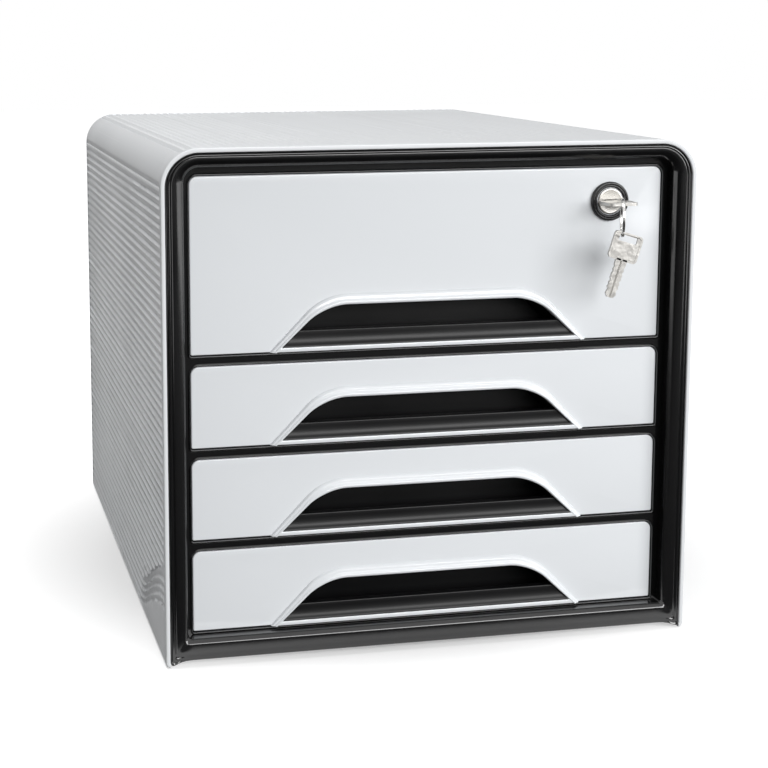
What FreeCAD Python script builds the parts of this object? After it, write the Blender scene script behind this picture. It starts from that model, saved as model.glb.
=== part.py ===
"""Desktop file drawer cabinet: a ribbed outer cover, a front frame and four drawers, the top one with a lock.

Millimetres. +Z is up and the front faces -Y. The origin is on the floor, under the middle of the whole
object with its hanging keys. Names in the sheet hold an underscore, so the expressions stay plain to read.
"""
import FreeCAD, Part
import math
import os
import re
import Sketcher

SIZES = {
    # Outer cover: one moulded shell over the top and both sides, ribbed from front to back.
    "cover_width": 288.0,
    "cover_depth": 360.0,
    "cover_top": 270.0,
    "cover_wall": 2.4,
    "cover_corner": 20.0,
    "cover_foot_corner": 4.0,
    "cover_lift": 0.6,
    "flange_width": 12.0,
    "flange_setback": 14.0,
    "rim_band": 4.5,
    "rib_pitch": 4.85,
    "rib_depth": 0.5,
    "pad_run": 100.0,
    "pad_height": 33.0,
    "pad_thickness": 1.2,
    # Front frame: the black surround with one window for each drawer.
    "frame_gap": 0.25,
    "frame_setback": 0.4,
    "frame_low": 3.2,
    "frame_step": 9.1,
    "frame_side_border": 9.45,
    "frame_top_border": 7.15,
    "frame_foot_border": 11.5,
    "frame_plate": 3.5,
    "frame_skirt": 26.0,
    "frame_wall": 2.0,
    "frame_foot_width": 7.0,
    "frame_foot_drop": 2.0,
    "rail_depth": 8.0,
    "bead_width": 1.0,
    "bead_rise": 0.7,
    "border_corner": 8.0,
    "border_foot_corner": 1.5,
    "strike_width": 26.0,
    "strike_height": 4.5,
    # Drawers: three low ones under a high one.
    "drawer_count": 4.0,
    "drawer_margin": 3.9,
    "drawer_low": 16.0,
    "drawer_height": 43.0,
    "drawer_top_margin": 5.2,
    "drawer_gap": 6.0,
    "window_gap": 0.6,
    "front_recess": 10.0,
    "front_thickness": 2.5,
    "front_corner": 4.3,
    "front_foot_corner": 0.8,
    "drawer_travel": 240.0,
    # Grip: the cut-out in each front, its flared brim and the pocket behind it.
    "grip_width": 166.0,
    "grip_top_width": 115.0,
    "grip_height": 24.0,
    "grip_fillet": 22.0,
    "brim_band": 5.5,
    "brim_rise": 2.5,
    "brim_edge": 1.2,
    "brim_foot_band": 1.7,
    "pocket_depth": 20.0,
    "pocket_draft": 3.5,
    "pocket_wall": 1.8,
    "pocket_floor": 2.5,
    "lip_height": 11.0,
    "lip_setback": 0.5,
    "lip_gap": 0.3,
    # Trays.
    "tray_inset": 4.0,
    "tray_back_gap": 13.1,
    "tray_wall": 1.8,
    "tray_headroom": 1.5,
    "ear_reach": 6.4,
    "ear_length": 6.0,
    "ear_height": 8.0,
    "ear_gap": 0.4,
    # Runner panels, base plate and back panel.
    "panel_clearance": 3.0,
    "panel_wall": 2.0,
    "runner_gap": 0.3,
    "runner_thickness": 2.4,
    "runner_overlap": 10.0,
    "flange_reach": 12.0,
    "flange_thickness": 3.0,
    "base_thickness": 2.4,
    "base_inset": 2.0,
    "back_thickness": 2.4,
    "back_inset": 2.0,
    "fit_gap": 0.3,
    # Feet and screws.
    "foot_diameter": 16.0,
    "foot_spigot": 6.0,
    "foot_inset_x": 26.0,
    "foot_inset_y": 40.0,
    "screw_diameter": 2.9,
    "screw_head": 6.0,
    "screw_head_height": 1.6,
    "screw_reach": 4.6,
    "screw_play": 0.05,
    "screw_hole_play": 0.3,
    "screw_edge": 60.0,
    # Lock in the top drawer.
    "lock_edge": 29.3,
    "lock_drop": 18.0,
    "bezel_diameter": 20.8,
    "bezel_bore": 14.2,
    "bezel_height": 2.2,
    "bezel_lip": 0.8,
    "barrel_diameter": 16.0,
    "barrel_length": 20.6,
    "barrel_play": 0.2,
    "plug_head": 13.8,
    "plug_head_height": 1.5,
    "plug_recess": 0.2,
    "plug_shaft": 11.4,
    "plug_play": 0.06,
    "plug_end_gap": 0.4,
    "keyway_width": 7.0,
    "keyway_height": 2.2,
    "keyway_depth": 18.4,
    "wafer_count": 5.0,
    "wafer_pitch": 3.0,
    "wafer_first": 4.0,
    "wafer_thickness": 0.9,
    "wafer_width": 8.8,
    "wafer_height": 6.0,
    "wafer_play": 0.15,
    "nut_across": 20.0,
    "nut_height": 4.0,
    "tail_square": 6.0,
    "tail_play": 0.1,
    "cam_length": 22.0,
    "cam_width": 10.0,
    "cam_thickness": 2.0,
    "cam_screw_diameter": 2.9,
    "cam_screw_reach": 4.0,
    "cam_screw_head": 8.4,
    "cam_screw_head_height": 2.2,
    # Keys and split ring.
    "bow_width": 16.4,
    "bow_length": 14.8,
    "bow_corner": 2.2,
    "key_thickness": 1.6,
    "bow_slot_width": 10.4,
    "bow_slot_height": 3.4,
    "bow_slot_margin": 1.4,
    "blade_length": 20.0,
    "blade_width": 6.2,
    "blade_neck": 2.6,
    "blade_tip": 3.0,
    "blade_groove": 1.0,
    "blade_groove_depth": 0.4,
    "bit_count": 6.0,
    "bit_pitch": 2.4,
    "bit_depth": 0.7,
    "ring_diameter": 20.6,
    "ring_wire": 1.0,
    "ring_turn_pitch": 0.95,
    "ring_pass": 50.0,
    "ring_turn": 19.0,
    "hook_side": 3.6,
    "hook_gap": 0.6,
}

doc = FreeCAD.newDocument("file_drawer")
sheet = doc.addObject("Spreadsheet::Sheet", "Sizes")
for row, (alias, value) in enumerate(SIZES.items(), start=1):
    sheet.set(f"A{row}", alias)
    sheet.set(f"B{row}", str(value))
    sheet.setAlias(f"B{row}", alias)
doc.recompute()

UP = FreeCAD.Vector(0, 0, 1)
RIGHT = FreeCAD.Vector(1, 0, 0)
BACKWARD = FreeCAD.Vector(0, 1, 0)

# Places worked out from the sizes, as expression texts over the sheet.
SLOT_FROM_FACE = (
    "(bezel_height - plug_recess + blade_neck + bow_length - bow_slot_margin - bow_slot_height / 2)"
)
RING_RADIUS = "((ring_diameter - ring_wire) / 2)"
RING_AHEAD = f"({RING_RADIUS} * sin(ring_pass) * cos(ring_turn))"
RING_PROUD = (
    f"({SLOT_FROM_FACE} + {RING_AHEAD} + ring_diameter / 2 * cos(ring_turn)"
    " + (ring_wire + ring_turn_pitch) / 2 * sin(ring_turn) - front_recess)"
)
RIM_Y = f"(-(cover_depth - {RING_PROUD}) / 2)"
BACK_Y = f"({RIM_Y} + cover_depth)"
FACE_Y = f"({RIM_Y} + frame_setback)"
PLATE_Y = f"({FACE_Y} + frame_step)"
PLATE_BACK_Y = f"({PLATE_Y} + frame_plate)"
DRAWER_Y = f"({RIM_Y} + front_recess)"
TRAY_Y = f"({DRAWER_Y} + front_thickness)"
INNER_X = "(cover_width / 2 - cover_wall)"
FRAME_X = f"({INNER_X} - frame_gap)"
FRAME_TOP = "(cover_top - cover_wall - frame_gap)"
BORDER_X = f"({FRAME_X} - frame_side_border)"
BORDER_TOP = f"({FRAME_TOP} - frame_top_border)"
BORDER_LOW = "(frame_low + frame_foot_border)"
FLANGE_TOP = "(cover_lift + cover_wall)"
BASE_TOP = f"({FLANGE_TOP} + base_thickness)"
DRAWER_X = f"({BORDER_X} - drawer_margin)"
DRAWER_TOP = f"({BORDER_TOP} - drawer_top_margin)"
TRAY_X = f"({DRAWER_X} - tray_inset)"
PANEL_X = f"({DRAWER_X} + panel_clearance)"
SKIRT_CORNER = "(cover_corner - cover_wall - frame_gap - frame_wall)"
PANEL_TOP = (
    f"(cover_top - cover_corner - fit_gap + sqrt({SKIRT_CORNER} ^ 2"
    f" - ({PANEL_X} + panel_wall - cover_width / 2 + cover_corner) ^ 2))"
)
BACK_PANEL_Y = f"({BACK_Y} - back_inset - back_thickness)"
RUNNER_Y = f"({PLATE_BACK_Y} + rail_depth)"
LOCK_X = f"({DRAWER_X} - lock_edge)"
LOCK_Z = f"({DRAWER_TOP} - lock_drop)"
PLUG_Y = f"({DRAWER_Y} - bezel_height + plug_recess)"
PLUG_END_Y = f"({DRAWER_Y} + barrel_length + plug_end_gap)"
CAM_BACK_Y = f"({PLUG_END_Y} + cam_thickness)"
BOW_Y = f"({PLUG_Y} - blade_neck)"
RING_X = f"({LOCK_X} - {RING_RADIUS} * sin(ring_pass) * sin(ring_turn))"
RING_Y = f"({DRAWER_Y} - {SLOT_FROM_FACE} - {RING_AHEAD})"
RING_Z = f"({LOCK_Z} - {RING_RADIUS} * cos(ring_pass))"


def bound(text):
    """Write each of the sheet's names in an expression in full."""
    return re.sub(r"[a-z]+(_[a-z]+)+", lambda word: "Sizes." + word.group(), text)


def number(text):
    """Value of an expression, for shapes made with Part's own functions."""
    return float(sheet.evalExpression(bound(text)))


def bind(item, **sizes):
    """Bind an object's properties to expressions."""
    for path, text in sizes.items():
        item.setExpression(path, bound(text))
    return item


def place(item, x="0", y="0", z="0"):
    """Bind the place of an object to expressions."""
    for axis, text in (("x", x), ("y", y), ("z", z)):
        item.setExpression(f".Placement.Base.{axis}", bound(text))
    return item


def box(name, x, y, z):
    """Box between a low and a high expression on each axis."""
    item = doc.addObject("Part::Box", name)
    bind(item, Length=f"({x[1]}) - ({x[0]})", Width=f"({y[1]}) - ({y[0]})", Height=f"({z[1]}) - ({z[0]})")
    return place(item, x[0], y[0], z[0])


def rod(name, diameter, x, y, z, length, axis=UP):
    """Cylinder from a point along an axis."""
    item = doc.addObject("Part::Cylinder", name)
    bind(item, Radius=f"({diameter}) / 2", Height=length)
    item.Placement.Rotation = FreeCAD.Rotation(UP, axis)
    return place(item, x, y, z)


def fuse(name, *parts):
    """Join solids into one."""
    item = doc.addObject("Part::MultiFuse", name)
    item.Shapes = list(parts)
    item.Refine = True
    return item


def cut(name, base, *tools):
    """Take one or more solids away from a solid."""
    item = doc.addObject("Part::Cut", name)
    item.Base = base
    item.Tool = tools[0] if len(tools) == 1 else fuse(name + "_tools", *tools)
    item.Refine = True
    return item


def group(name, *parts):
    """Keep separate solids together in one node."""
    item = doc.addObject("Part::Compound", name)
    item.Links = list(parts)
    return item


def made(name, shape):
    """Object for a shape made with Part's own functions."""
    item = doc.addObject("Part::Feature", name)
    item.Shape = shape
    return item


def new_body(name):
    """Empty PartDesign body."""
    return doc.addObject("PartDesign::Body", name)


def sketch(body, plane, loops, offset="0"):
    """Sketch on an origin plane. Each loop runs anticlockwise through corners held by expressions."""
    item = body.newObject("Sketcher::SketchObject", body.Name + "_sketch")
    support = next(entry for entry in body.Origin.OriginFeatures if entry.Role == plane)
    item.AttachmentSupport = [(support, "")]
    item.MapMode = "FlatFace"
    item.setExpression(".AttachmentOffset.Base.z", bound(offset))
    for corners in loops:
        draw_loop(item, corners)
    return item


def hold(item, kind, geometry, spot, text):
    """Hold a point's distance from the sketch's origin at an expression."""
    held = item.addConstraint(Sketcher.Constraint(kind, geometry, spot, number(text)))
    item.setExpression(f"Constraints[{held}]", bound(text))


def draw_loop(item, corners):
    """Draw one closed loop. A corner is (x, y), or (x, y, radius) where it is rounded."""
    points = [FreeCAD.Vector(number(corner[0]), number(corner[1]), 0) for corner in corners]
    radii = [number(corner[2]) if len(corner) > 2 else 0 for corner in corners]
    count = len(corners)
    leaving = [(points[(index + 1) % count] - points[index]).normalize() for index in range(count)]
    turns = [leaving[index - 1].getAngle(leaving[index]) for index in range(count)]
    trims = [radius * math.tan(angle / 2) for radius, angle in zip(radii, turns)]
    first = item.GeometryCount
    for index, direction in enumerate(leaving):
        following = (index + 1) % count
        start = points[index] + direction * trims[index]
        end = points[following] - direction * trims[following]
        item.addGeometry(Part.LineSegment(start, end), False)
    for index, corner in enumerate(corners):
        line = first + index
        previous = first + (index - 1) % count
        if len(corner) == 2:
            item.addConstraint(Sketcher.Constraint("Coincident", previous, 2, line, 1))
            hold(item, "DistanceX", line, 1, corner[0])
            hold(item, "DistanceY", line, 1, corner[1])
            continue
        start = points[index] + leaving[index] * trims[index]
        centre = start + FreeCAD.Vector(-leaving[index].y, leaving[index].x, 0) * radii[index]
        after = math.atan2(start.y - centre.y, start.x - centre.x)
        circle = Part.Circle(centre, UP, radii[index])
        arc = item.addGeometry(Part.ArcOfCircle(circle, after - turns[index], after), False)
        item.addConstraint(Sketcher.Constraint("Tangent", previous, 2, arc, 1))
        item.addConstraint(Sketcher.Constraint("Tangent", arc, 2, line, 1))
        held = item.addConstraint(Sketcher.Constraint("Radius", arc, radii[index]))
        item.setExpression(f"Constraints[{held}]", bound(corner[2]))
        spot = item.addGeometry(Part.Point(points[index]), True)
        item.addConstraint(Sketcher.Constraint("PointOnObject", spot, 1, previous))
        item.addConstraint(Sketcher.Constraint("PointOnObject", spot, 1, line))
        hold(item, "DistanceX", spot, 1, corner[0])
        hold(item, "DistanceY", spot, 1, corner[1])


def rectangle(x, y):
    """Corners of a rectangle between low and high expressions."""
    return [(x[0], y[0]), (x[1], y[0]), (x[1], y[1]), (x[0], y[1])]


def rounded(x, y, foot, crown):
    """Corners of a rectangle with one radius at its foot and another at its top."""
    return [(x[0], y[0], foot), (x[1], y[0], foot), (x[1], y[1], crown), (x[0], y[1], crown)]


def pad(body, profile, length, reverse=False):
    """Add the profile's prism to the body."""
    item = body.newObject("PartDesign::Pad", body.Name + "_pad")
    item.Profile = profile
    item.Reversed = reverse
    item.setExpression("Length", bound(length))
    return item


def pocket(body, profile, length, reverse=False):
    """Cut the profile's prism from the body."""
    item = body.newObject("PartDesign::Pocket", body.Name + "_pocket")
    item.Profile = profile
    item.Reversed = reverse
    item.setExpression("Length", bound(length))
    return item


def turn(body, profile):
    """Revolve the profile about the body's own Z axis."""
    item = body.newObject("PartDesign::Revolution", body.Name + "_turning")
    item.Profile = profile
    item.ReferenceAxis = (profile, ["V_Axis"])
    return item


def sided(sign, near, far):
    """Low and high expressions between two distances from the middle, on one side."""
    return (near, far) if sign == "" else (f"-({far})", f"-({near})")


def drawer_base(index):
    """Underside of a drawer's front, counted from the lowest drawer."""
    return f"(drawer_low + {index} * (drawer_height + drawer_gap))"


def drawer_size(index):
    """Height of a drawer's front: the top one fills what is left under the border."""
    return f"({DRAWER_TOP} - {drawer_base(index)})" if index == DRAWERS - 1 else "drawer_height"


DRAWERS = round(number("drawer_count"))


def cover_outline(depth):
    """Cross-section of the cover with grooves of a given depth between the rib crests."""
    half = number("cover_width / 2")
    top = number("cover_top")
    low = number("cover_lift")
    wall = number("cover_wall")
    corner = number("cover_corner")
    foot = number("cover_foot_corner")
    flange = number("flange_width")
    pitch = number("rib_pitch")

    def at(x, z):
        return FreeCAD.Vector(x, 0, z)

    def ribs(start, end, inward):
        """Concave grooves between evenly spaced crests, or one line where there are none."""
        if depth == 0:
            return [Part.LineSegment(start, end)]
        count = round((end - start).Length / pitch)
        step = (end - start) / count
        crests = [start + step * index for index in range(count + 1)]
        return [
            Part.Arc(one, (one + two) / 2 + inward * depth, two) for one, two in zip(crests, crests[1:])
        ]

    def bend(centre, radius, first, last):
        """Arc about a centre between two directions in degrees."""
        spots = []
        for degrees in (first, (first + last) / 2, last):
            turned = math.radians(degrees)
            spots.append(centre + at(math.cos(turned), math.sin(turned)) * radius)
        return Part.Arc(*spots)

    side = low + foot
    shoulder = top - corner
    outer = [Part.LineSegment(at(-half + flange, low), at(-half + foot, low))]
    outer.append(bend(at(-half + foot, side), foot, 270, 180))
    outer += ribs(at(-half, side), at(-half, shoulder), at(1, 0))
    outer.append(bend(at(-half + corner, shoulder), corner, 180, 90))
    outer += ribs(at(-half + corner, top), at(half - corner, top), at(0, -1))
    outer.append(bend(at(half - corner, shoulder), corner, 90, 0))
    outer += ribs(at(half, shoulder), at(half, side), at(-1, 0))
    outer.append(bend(at(half - foot, side), foot, 0, -90))
    outer.append(Part.LineSegment(at(half - foot, low), at(half - flange, low)))
    inner = half - wall
    inner_foot = foot - wall
    inner_corner = corner - wall
    outer.append(Part.LineSegment(at(half - flange, low), at(half - flange, low + wall)))
    outer.append(Part.LineSegment(at(half - flange, low + wall), at(half - foot, low + wall)))
    outer.append(bend(at(half - foot, side), inner_foot, -90, 0))
    outer.append(Part.LineSegment(at(inner, side), at(inner, shoulder)))
    outer.append(bend(at(half - corner, shoulder), inner_corner, 0, 90))
    outer.append(Part.LineSegment(at(half - corner, top - wall), at(-half + corner, top - wall)))
    outer.append(bend(at(-half + corner, shoulder), inner_corner, 90, 180))
    outer.append(Part.LineSegment(at(-inner, shoulder), at(-inner, side)))
    outer.append(bend(at(-half + foot, side), inner_foot, 180, 270))
    outer.append(Part.LineSegment(at(-half + foot, low + wall), at(-half + flange, low + wall)))
    outer.append(Part.LineSegment(at(-half + flange, low + wall), at(-half + flange, low)))
    return Part.Face(Part.Wire([curve.toShape() for curve in outer]))


def smooth_pad(name, x):
    """Plain pad level with the rib crests at a side's lower front corner, its top falling away in an S."""
    front = number(f"{RIM_Y} + rim_band")
    back = number(f"{RIM_Y} + pad_run")
    low = number("cover_lift + cover_foot_corner")
    high = number("pad_height")
    start = number(x)
    middle = (front + back) / 2

    def at(y, z):
        return FreeCAD.Vector(start, y, z)

    fall = Part.BezierCurve()
    fall.setPoles([at(front, high), at(middle, high), at(middle, low), at(back, low)])
    foot_edge = Part.LineSegment(at(back, low), at(front, low))
    front_edge = Part.LineSegment(at(front, low), at(front, high))
    outline = Part.Face(Part.Wire([edge.toShape() for edge in (fall, foot_edge, front_edge)]))
    return made(name, outline.extrude(RIGHT * number("pad_thickness")))


def outer_cover():
    """Ribbed shell, with a plain band behind its front rim and its foot flanges set back."""
    band = cover_outline(0)
    band.translate(FreeCAD.Vector(0, number(RIM_Y), 0))
    ribbed = cover_outline(number("rib_depth"))
    ribbed.translate(FreeCAD.Vector(0, number(f"{RIM_Y} + rim_band"), 0))
    front = band.extrude(BACKWARD * number("rim_band"))
    shell = made("cover_shell", front.fuse(ribbed.extrude(BACKWARD * number("cover_depth - rim_band"))))
    notch = box(
        "cover_notch",
        (f"-{INNER_X}", INNER_X),
        (f"{RIM_Y} - 1", f"{RIM_Y} + flange_setback"),
        ("0", "cover_lift + cover_foot_corner"),
    )
    left_pad = smooth_pad("left_pad", "-cover_width / 2")
    right_pad = smooth_pad("right_pad", "cover_width / 2 - pad_thickness")
    return cut("outer_cover", fuse("cover_blank", shell, left_pad, right_pad), notch)


def window(index, grow="0"):
    """Rounded corners of the frame's window for a drawer, grown on every side."""
    side = f"({DRAWER_X} + window_gap + {grow})"
    low = f"{drawer_base(index)} - window_gap - {grow}"
    high = f"{drawer_base(index)} + {drawer_size(index)} + window_gap + {grow}"
    foot = f"front_foot_corner + window_gap + {grow}"
    return rounded((f"-{side}", side), (low, high), foot, f"front_corner + window_gap + {grow}")


def front_frame():
    """Surround with a stepped border, a rail between drawers and a thin raised bead at each window."""
    body = new_body("front_frame")
    foot_radius = "cover_foot_corner - cover_wall + frame_gap"
    top_radius = "cover_corner - cover_wall - frame_gap"
    outline = rounded((f"-{FRAME_X}", FRAME_X), ("frame_low", FRAME_TOP), foot_radius, top_radius)
    pad(body, sketch(body, "XZ_Plane", [outline], f"-{FACE_Y}"), "frame_skirt", reverse=True)
    border_x = (f"-{BORDER_X}", BORDER_X)
    border = rounded(border_x, (BORDER_LOW, BORDER_TOP), "border_foot_corner", "border_corner")
    pocket(body, sketch(body, "XZ_Plane", [border], f"-{FACE_Y}"), "frame_step")
    hollow_x = (f"-({FRAME_X} - frame_wall)", f"{FRAME_X} - frame_wall")
    hollow_z = ("frame_low + frame_wall", f"{FRAME_TOP} - frame_wall")
    hollow = rounded(hollow_x, hollow_z, foot_radius, SKIRT_CORNER)
    rear = sketch(body, "XZ_Plane", [hollow], f"-({FACE_Y} + frame_skirt)")
    pocket(body, rear, "frame_skirt - frame_step - frame_plate", reverse=True)
    rail_x = (f"-({DRAWER_X} + window_gap)", f"{DRAWER_X} + window_gap")
    rails = [rectangle(rail_x, ("frame_low + frame_wall", f"{drawer_base(0)} - window_gap"))]
    for index in range(1, DRAWERS):
        under = f"{drawer_base(index - 1)} + {drawer_size(index - 1)} + window_gap"
        rails.append(rectangle(rail_x, (under, f"{drawer_base(index)} - window_gap")))
    head = f"{DRAWER_TOP} + window_gap"
    rails.append(rectangle(rail_x, (head, f"{head} + frame_wall")))
    pad(body, sketch(body, "XZ_Plane", rails, f"-{PLATE_BACK_Y}"), "rail_depth", reverse=True)
    strike_x = (f"{LOCK_X} - strike_width / 2", f"{LOCK_X} + strike_width / 2")
    strike = rectangle(strike_x, (head, f"{head} + strike_height"))
    strike_length = f"{PLUG_END_Y} - 2 * plug_end_gap - {PLATE_BACK_Y}"
    pad(body, sketch(body, "XZ_Plane", [strike], f"-{PLATE_BACK_Y}"), strike_length, reverse=True)
    foot_z = ("frame_low - frame_foot_drop", "frame_low + frame_wall + frame_foot_drop")
    feet = [rectangle(sided(sign, f"{FRAME_X} - frame_foot_width", FRAME_X), foot_z) for sign in ("-", "")]
    pad(body, sketch(body, "XZ_Plane", feet, f"-{FACE_Y}"), "frame_step", reverse=True)
    windows = sketch(body, "XZ_Plane", [window(index) for index in range(DRAWERS)], f"-{PLATE_Y}")
    pocket(body, windows, "frame_plate")
    for index in range(DRAWERS):
        bead = sketch(body, "XZ_Plane", [window(index, "bead_width"), window(index)], f"-{PLATE_Y}")
        pad(body, bead, "bead_rise")
    return body


def grip_face(base, y, foot_half, top_half, low, high, fillet):
    """Trapezoid face across the front with its two upper corners rounded."""
    floor = number(f"{base} + {low}")
    roof = number(f"{base} + {high}")
    foot_x = number(foot_half)
    top_x = number(top_half)
    depth = number(y)
    radius = number(fillet)
    lean = math.atan2(roof - floor, foot_x - top_x)
    tangent = radius * math.tan(lean / 2)

    def at(x, z):
        return FreeCAD.Vector(x, depth, z)

    def on_leg(distance):
        return top_x + distance * math.cos(lean), roof - distance * math.sin(lean)

    leg_x, leg_z = on_leg(tangent)
    centre_x = top_x - tangent
    centre_z = roof - radius
    mid_x = centre_x + radius * math.sin(lean / 2)
    mid_z = centre_z + radius * math.cos(lean / 2)
    edges = [
        Part.LineSegment(at(-foot_x, floor), at(-leg_x, leg_z)),
        Part.Arc(at(-leg_x, leg_z), at(-mid_x, mid_z), at(-centre_x, roof)),
        Part.LineSegment(at(-centre_x, roof), at(centre_x, roof)),
        Part.Arc(at(centre_x, roof), at(mid_x, mid_z), at(leg_x, leg_z)),
        Part.LineSegment(at(leg_x, leg_z), at(foot_x, floor)),
        Part.LineSegment(at(foot_x, floor), at(-foot_x, floor)),
    ]
    return Part.Wire([edge.toShape() for edge in edges])


def grip_half(height, grow="0"):
    """Half-width of the cut-out at a height above the drawer's underside."""
    return f"(grip_width / 2 - ({height}) * (grip_width - grip_top_width) / (2 * grip_height) + {grow})"


def grip_loft(name, front, back):
    """Solid between two trapezoids."""
    return made(name, Part.makeLoft([front, back], True, True))


def front_panel(index):
    """White front with a flared brim round its cut-out, and a hole for the lock in the top one."""
    base = drawer_base(index)
    name = PANEL_NAMES[index]
    body = new_body(name + "_plate")
    height = (base, f"{base} + {drawer_size(index)}")
    outline = rounded((f"-{DRAWER_X}", DRAWER_X), height, "front_foot_corner", "front_corner")
    pad(body, sketch(body, "XZ_Plane", [outline], f"-{DRAWER_Y}"), "front_thickness", reverse=True)
    brim = grip_loft(
        name + "_brim",
        grip_face(base, DRAWER_Y, "grip_width / 2 + brim_foot_band", "(grip_top_width + brim_foot_band) / 2",
                  "0", "grip_height + brim_band", "grip_fillet + brim_foot_band"),
        grip_face(base, f"{DRAWER_Y} - brim_rise", "grip_width / 2 + brim_foot_band / 2",
                  "(grip_top_width + brim_edge) / 2", "0", "grip_height + brim_edge", "grip_fillet"),
    )
    opening = grip_loft(
        name + "_opening",
        grip_face(base, f"{DRAWER_Y} - 2 * brim_rise", grip_half("-1"), grip_half("grip_height"),
                  "-1", "grip_height", "grip_fillet"),
        grip_face(base, f"{DRAWER_Y} + 2 * front_thickness", grip_half("-1"), grip_half("grip_height"),
                  "-1", "grip_height", "grip_fillet"),
    )
    tools = [opening]
    if index == DRAWERS - 1:
        tools.append(barrel_hole(name + "_lock_hole", "barrel_diameter + 2 * barrel_play"))
    return cut(name, fuse(name + "_blank", body, brim), *tools)


def barrel_hole(name, diameter):
    """Tool for the lock's hole, from well in front of the drawer to well inside it."""
    start = f"{DRAWER_Y} - barrel_length"
    return rod(name, diameter, LOCK_X, start, LOCK_Z, "3 * barrel_length", BACKWARD)


def tray(index):
    """Open tray with the grip's pocket and lip at its front and a stop ear on each side."""
    base = drawer_base(index)
    name = TRAY_NAMES[index]
    high = f"{base} + {drawer_size(index)} - tray_headroom"
    back = f"({BACK_PANEL_Y} - tray_back_gap)"
    outer = box(name + "_outer", (f"-{TRAY_X}", TRAY_X), (TRAY_Y, back), (base, high))
    inner = box(
        name + "_inner",
        (f"tray_wall - {TRAY_X}", f"{TRAY_X} - tray_wall"),
        (f"{TRAY_Y} + tray_wall", f"{back} - tray_wall"),
        (f"{base} + tray_wall", f"{high} + 1"),
    )
    rear = f"({DRAWER_Y} + pocket_depth)"
    cup = grip_loft(
        name + "_cup",
        grip_face(base, TRAY_Y, grip_half("0", "pocket_wall"), grip_half("grip_height", "pocket_wall"),
                  "0", "grip_height + pocket_wall", "grip_fillet"),
        grip_face(base, f"{rear} + pocket_wall", grip_half("0", "pocket_wall - pocket_draft"),
                  grip_half("grip_height", "pocket_wall - pocket_draft"),
                  "0", "grip_height + pocket_wall", "grip_fillet"),
    )
    hollow = grip_loft(
        name + "_hollow",
        grip_face(base, f"{TRAY_Y} - 1", grip_half("pocket_floor"), grip_half("grip_height"),
                  "pocket_floor", "grip_height", "grip_fillet"),
        grip_face(base, rear, grip_half("pocket_floor", "-pocket_draft"),
                  grip_half("grip_height", "-pocket_draft"), "pocket_floor", "grip_height", "grip_fillet"),
    )
    lip_face = f"({DRAWER_Y} + lip_setback)"
    lip_back = f"({TRAY_Y} + tray_wall)"
    lip = made(name + "_lip", lip_solid(base, lip_face, lip_back))
    ears = []
    for side, sign in (("left", "-"), ("right", "")):
        near = f"{sign}({TRAY_X} - tray_wall)"
        far = f"{sign}({TRAY_X} + ear_reach)"
        reach = (far, near) if side == "left" else (near, far)
        start = f"{PLATE_BACK_Y} + drawer_travel + ear_gap"
        ears.append(
            box(f"{name}_{side}_ear", reach, (start, f"{start} + ear_length"),
                (f"{base} + ear_gap", f"{base} + ear_gap + ear_height"))
        )
    hollows = [hollow]
    if index == DRAWERS - 1:
        hollows.append(barrel_hole(name + "_lock_hole", "barrel_diameter + 2 * barrel_play"))
    shell = fuse(name + "_shell", cut(name + "_bin", outer, inner), cup, *ears)
    return fuse(name, cut(name + "_hollowed", shell, *hollows), lip)


def lip_solid(base, front, back):
    """Bar across the foot of the cut-out that fingers pull on."""
    floor = number(base)
    roof = number(f"{base} + lip_height")
    y = number(front)
    foot_x = number(grip_half("0", "-lip_gap"))
    top_x = number(grip_half("lip_height", "-lip_gap"))
    spots = ((-foot_x, floor), (-top_x, roof), (top_x, roof), (foot_x, floor))
    corners = [FreeCAD.Vector(x, y, z) for x, z in spots]
    outline = Part.makePolygon(corners + corners[:1])
    return Part.Face(outline).extrude(BACKWARD * (number(back) - y))


def runner_panel(name, sign):
    """Side panel with a ledge under each drawer, and flanges for the base and back screws."""
    wall = box(
        name + "_wall",
        sided(sign, PANEL_X, f"{PANEL_X} + panel_wall"),
        (PLATE_BACK_Y, BACK_PANEL_Y),
        (BASE_TOP, PANEL_TOP),
    )
    parts = [wall]
    for index in range(DRAWERS):
        top = f"{drawer_base(index)} - runner_gap"
        parts.append(
            box(f"{name}_ledge_{index + 1}", sided(sign, f"{TRAY_X} - runner_overlap", PANEL_X),
                (RUNNER_Y, BACK_PANEL_Y), (f"{top} - runner_thickness", top))
        )
    reach = sided(sign, f"{PANEL_X} - flange_reach", PANEL_X)
    foot = (BASE_TOP, f"{BASE_TOP} + flange_thickness")
    parts.append(box(name + "_foot", reach, (RUNNER_Y, BACK_PANEL_Y), foot))
    rear = (f"{BACK_PANEL_Y} - flange_thickness", BACK_PANEL_Y)
    parts.append(box(name + "_rear", reach, rear, (BASE_TOP, PANEL_TOP)))
    holes = []
    for number_of, (x, y) in enumerate(base_screw_spots(sign), start=1):
        holes.append(rod(f"{name}_foot_hole_{number_of}", "screw_diameter + 2 * screw_play", x, y,
                         f"{BASE_TOP} - 1", "flange_thickness + 2"))
    for number_of, (x, z) in enumerate(back_screw_spots(sign), start=1):
        holes.append(rod(f"{name}_rear_hole_{number_of}", "screw_diameter + 2 * screw_play", x,
                         f"{rear[0]} - 1", z, "flange_thickness + 2", BACKWARD))
    return cut(name, fuse(name + "_blank", *parts), *holes)


def base_screw_spots(sign):
    """Places of the base screws on one side."""
    x = f"{sign}({PANEL_X} - flange_reach / 2)"
    return [(x, f"{RIM_Y} + screw_edge"), (x, f"({RIM_Y} + {BACK_Y}) / 2"), (x, f"{BACK_Y} - screw_edge")]


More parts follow.
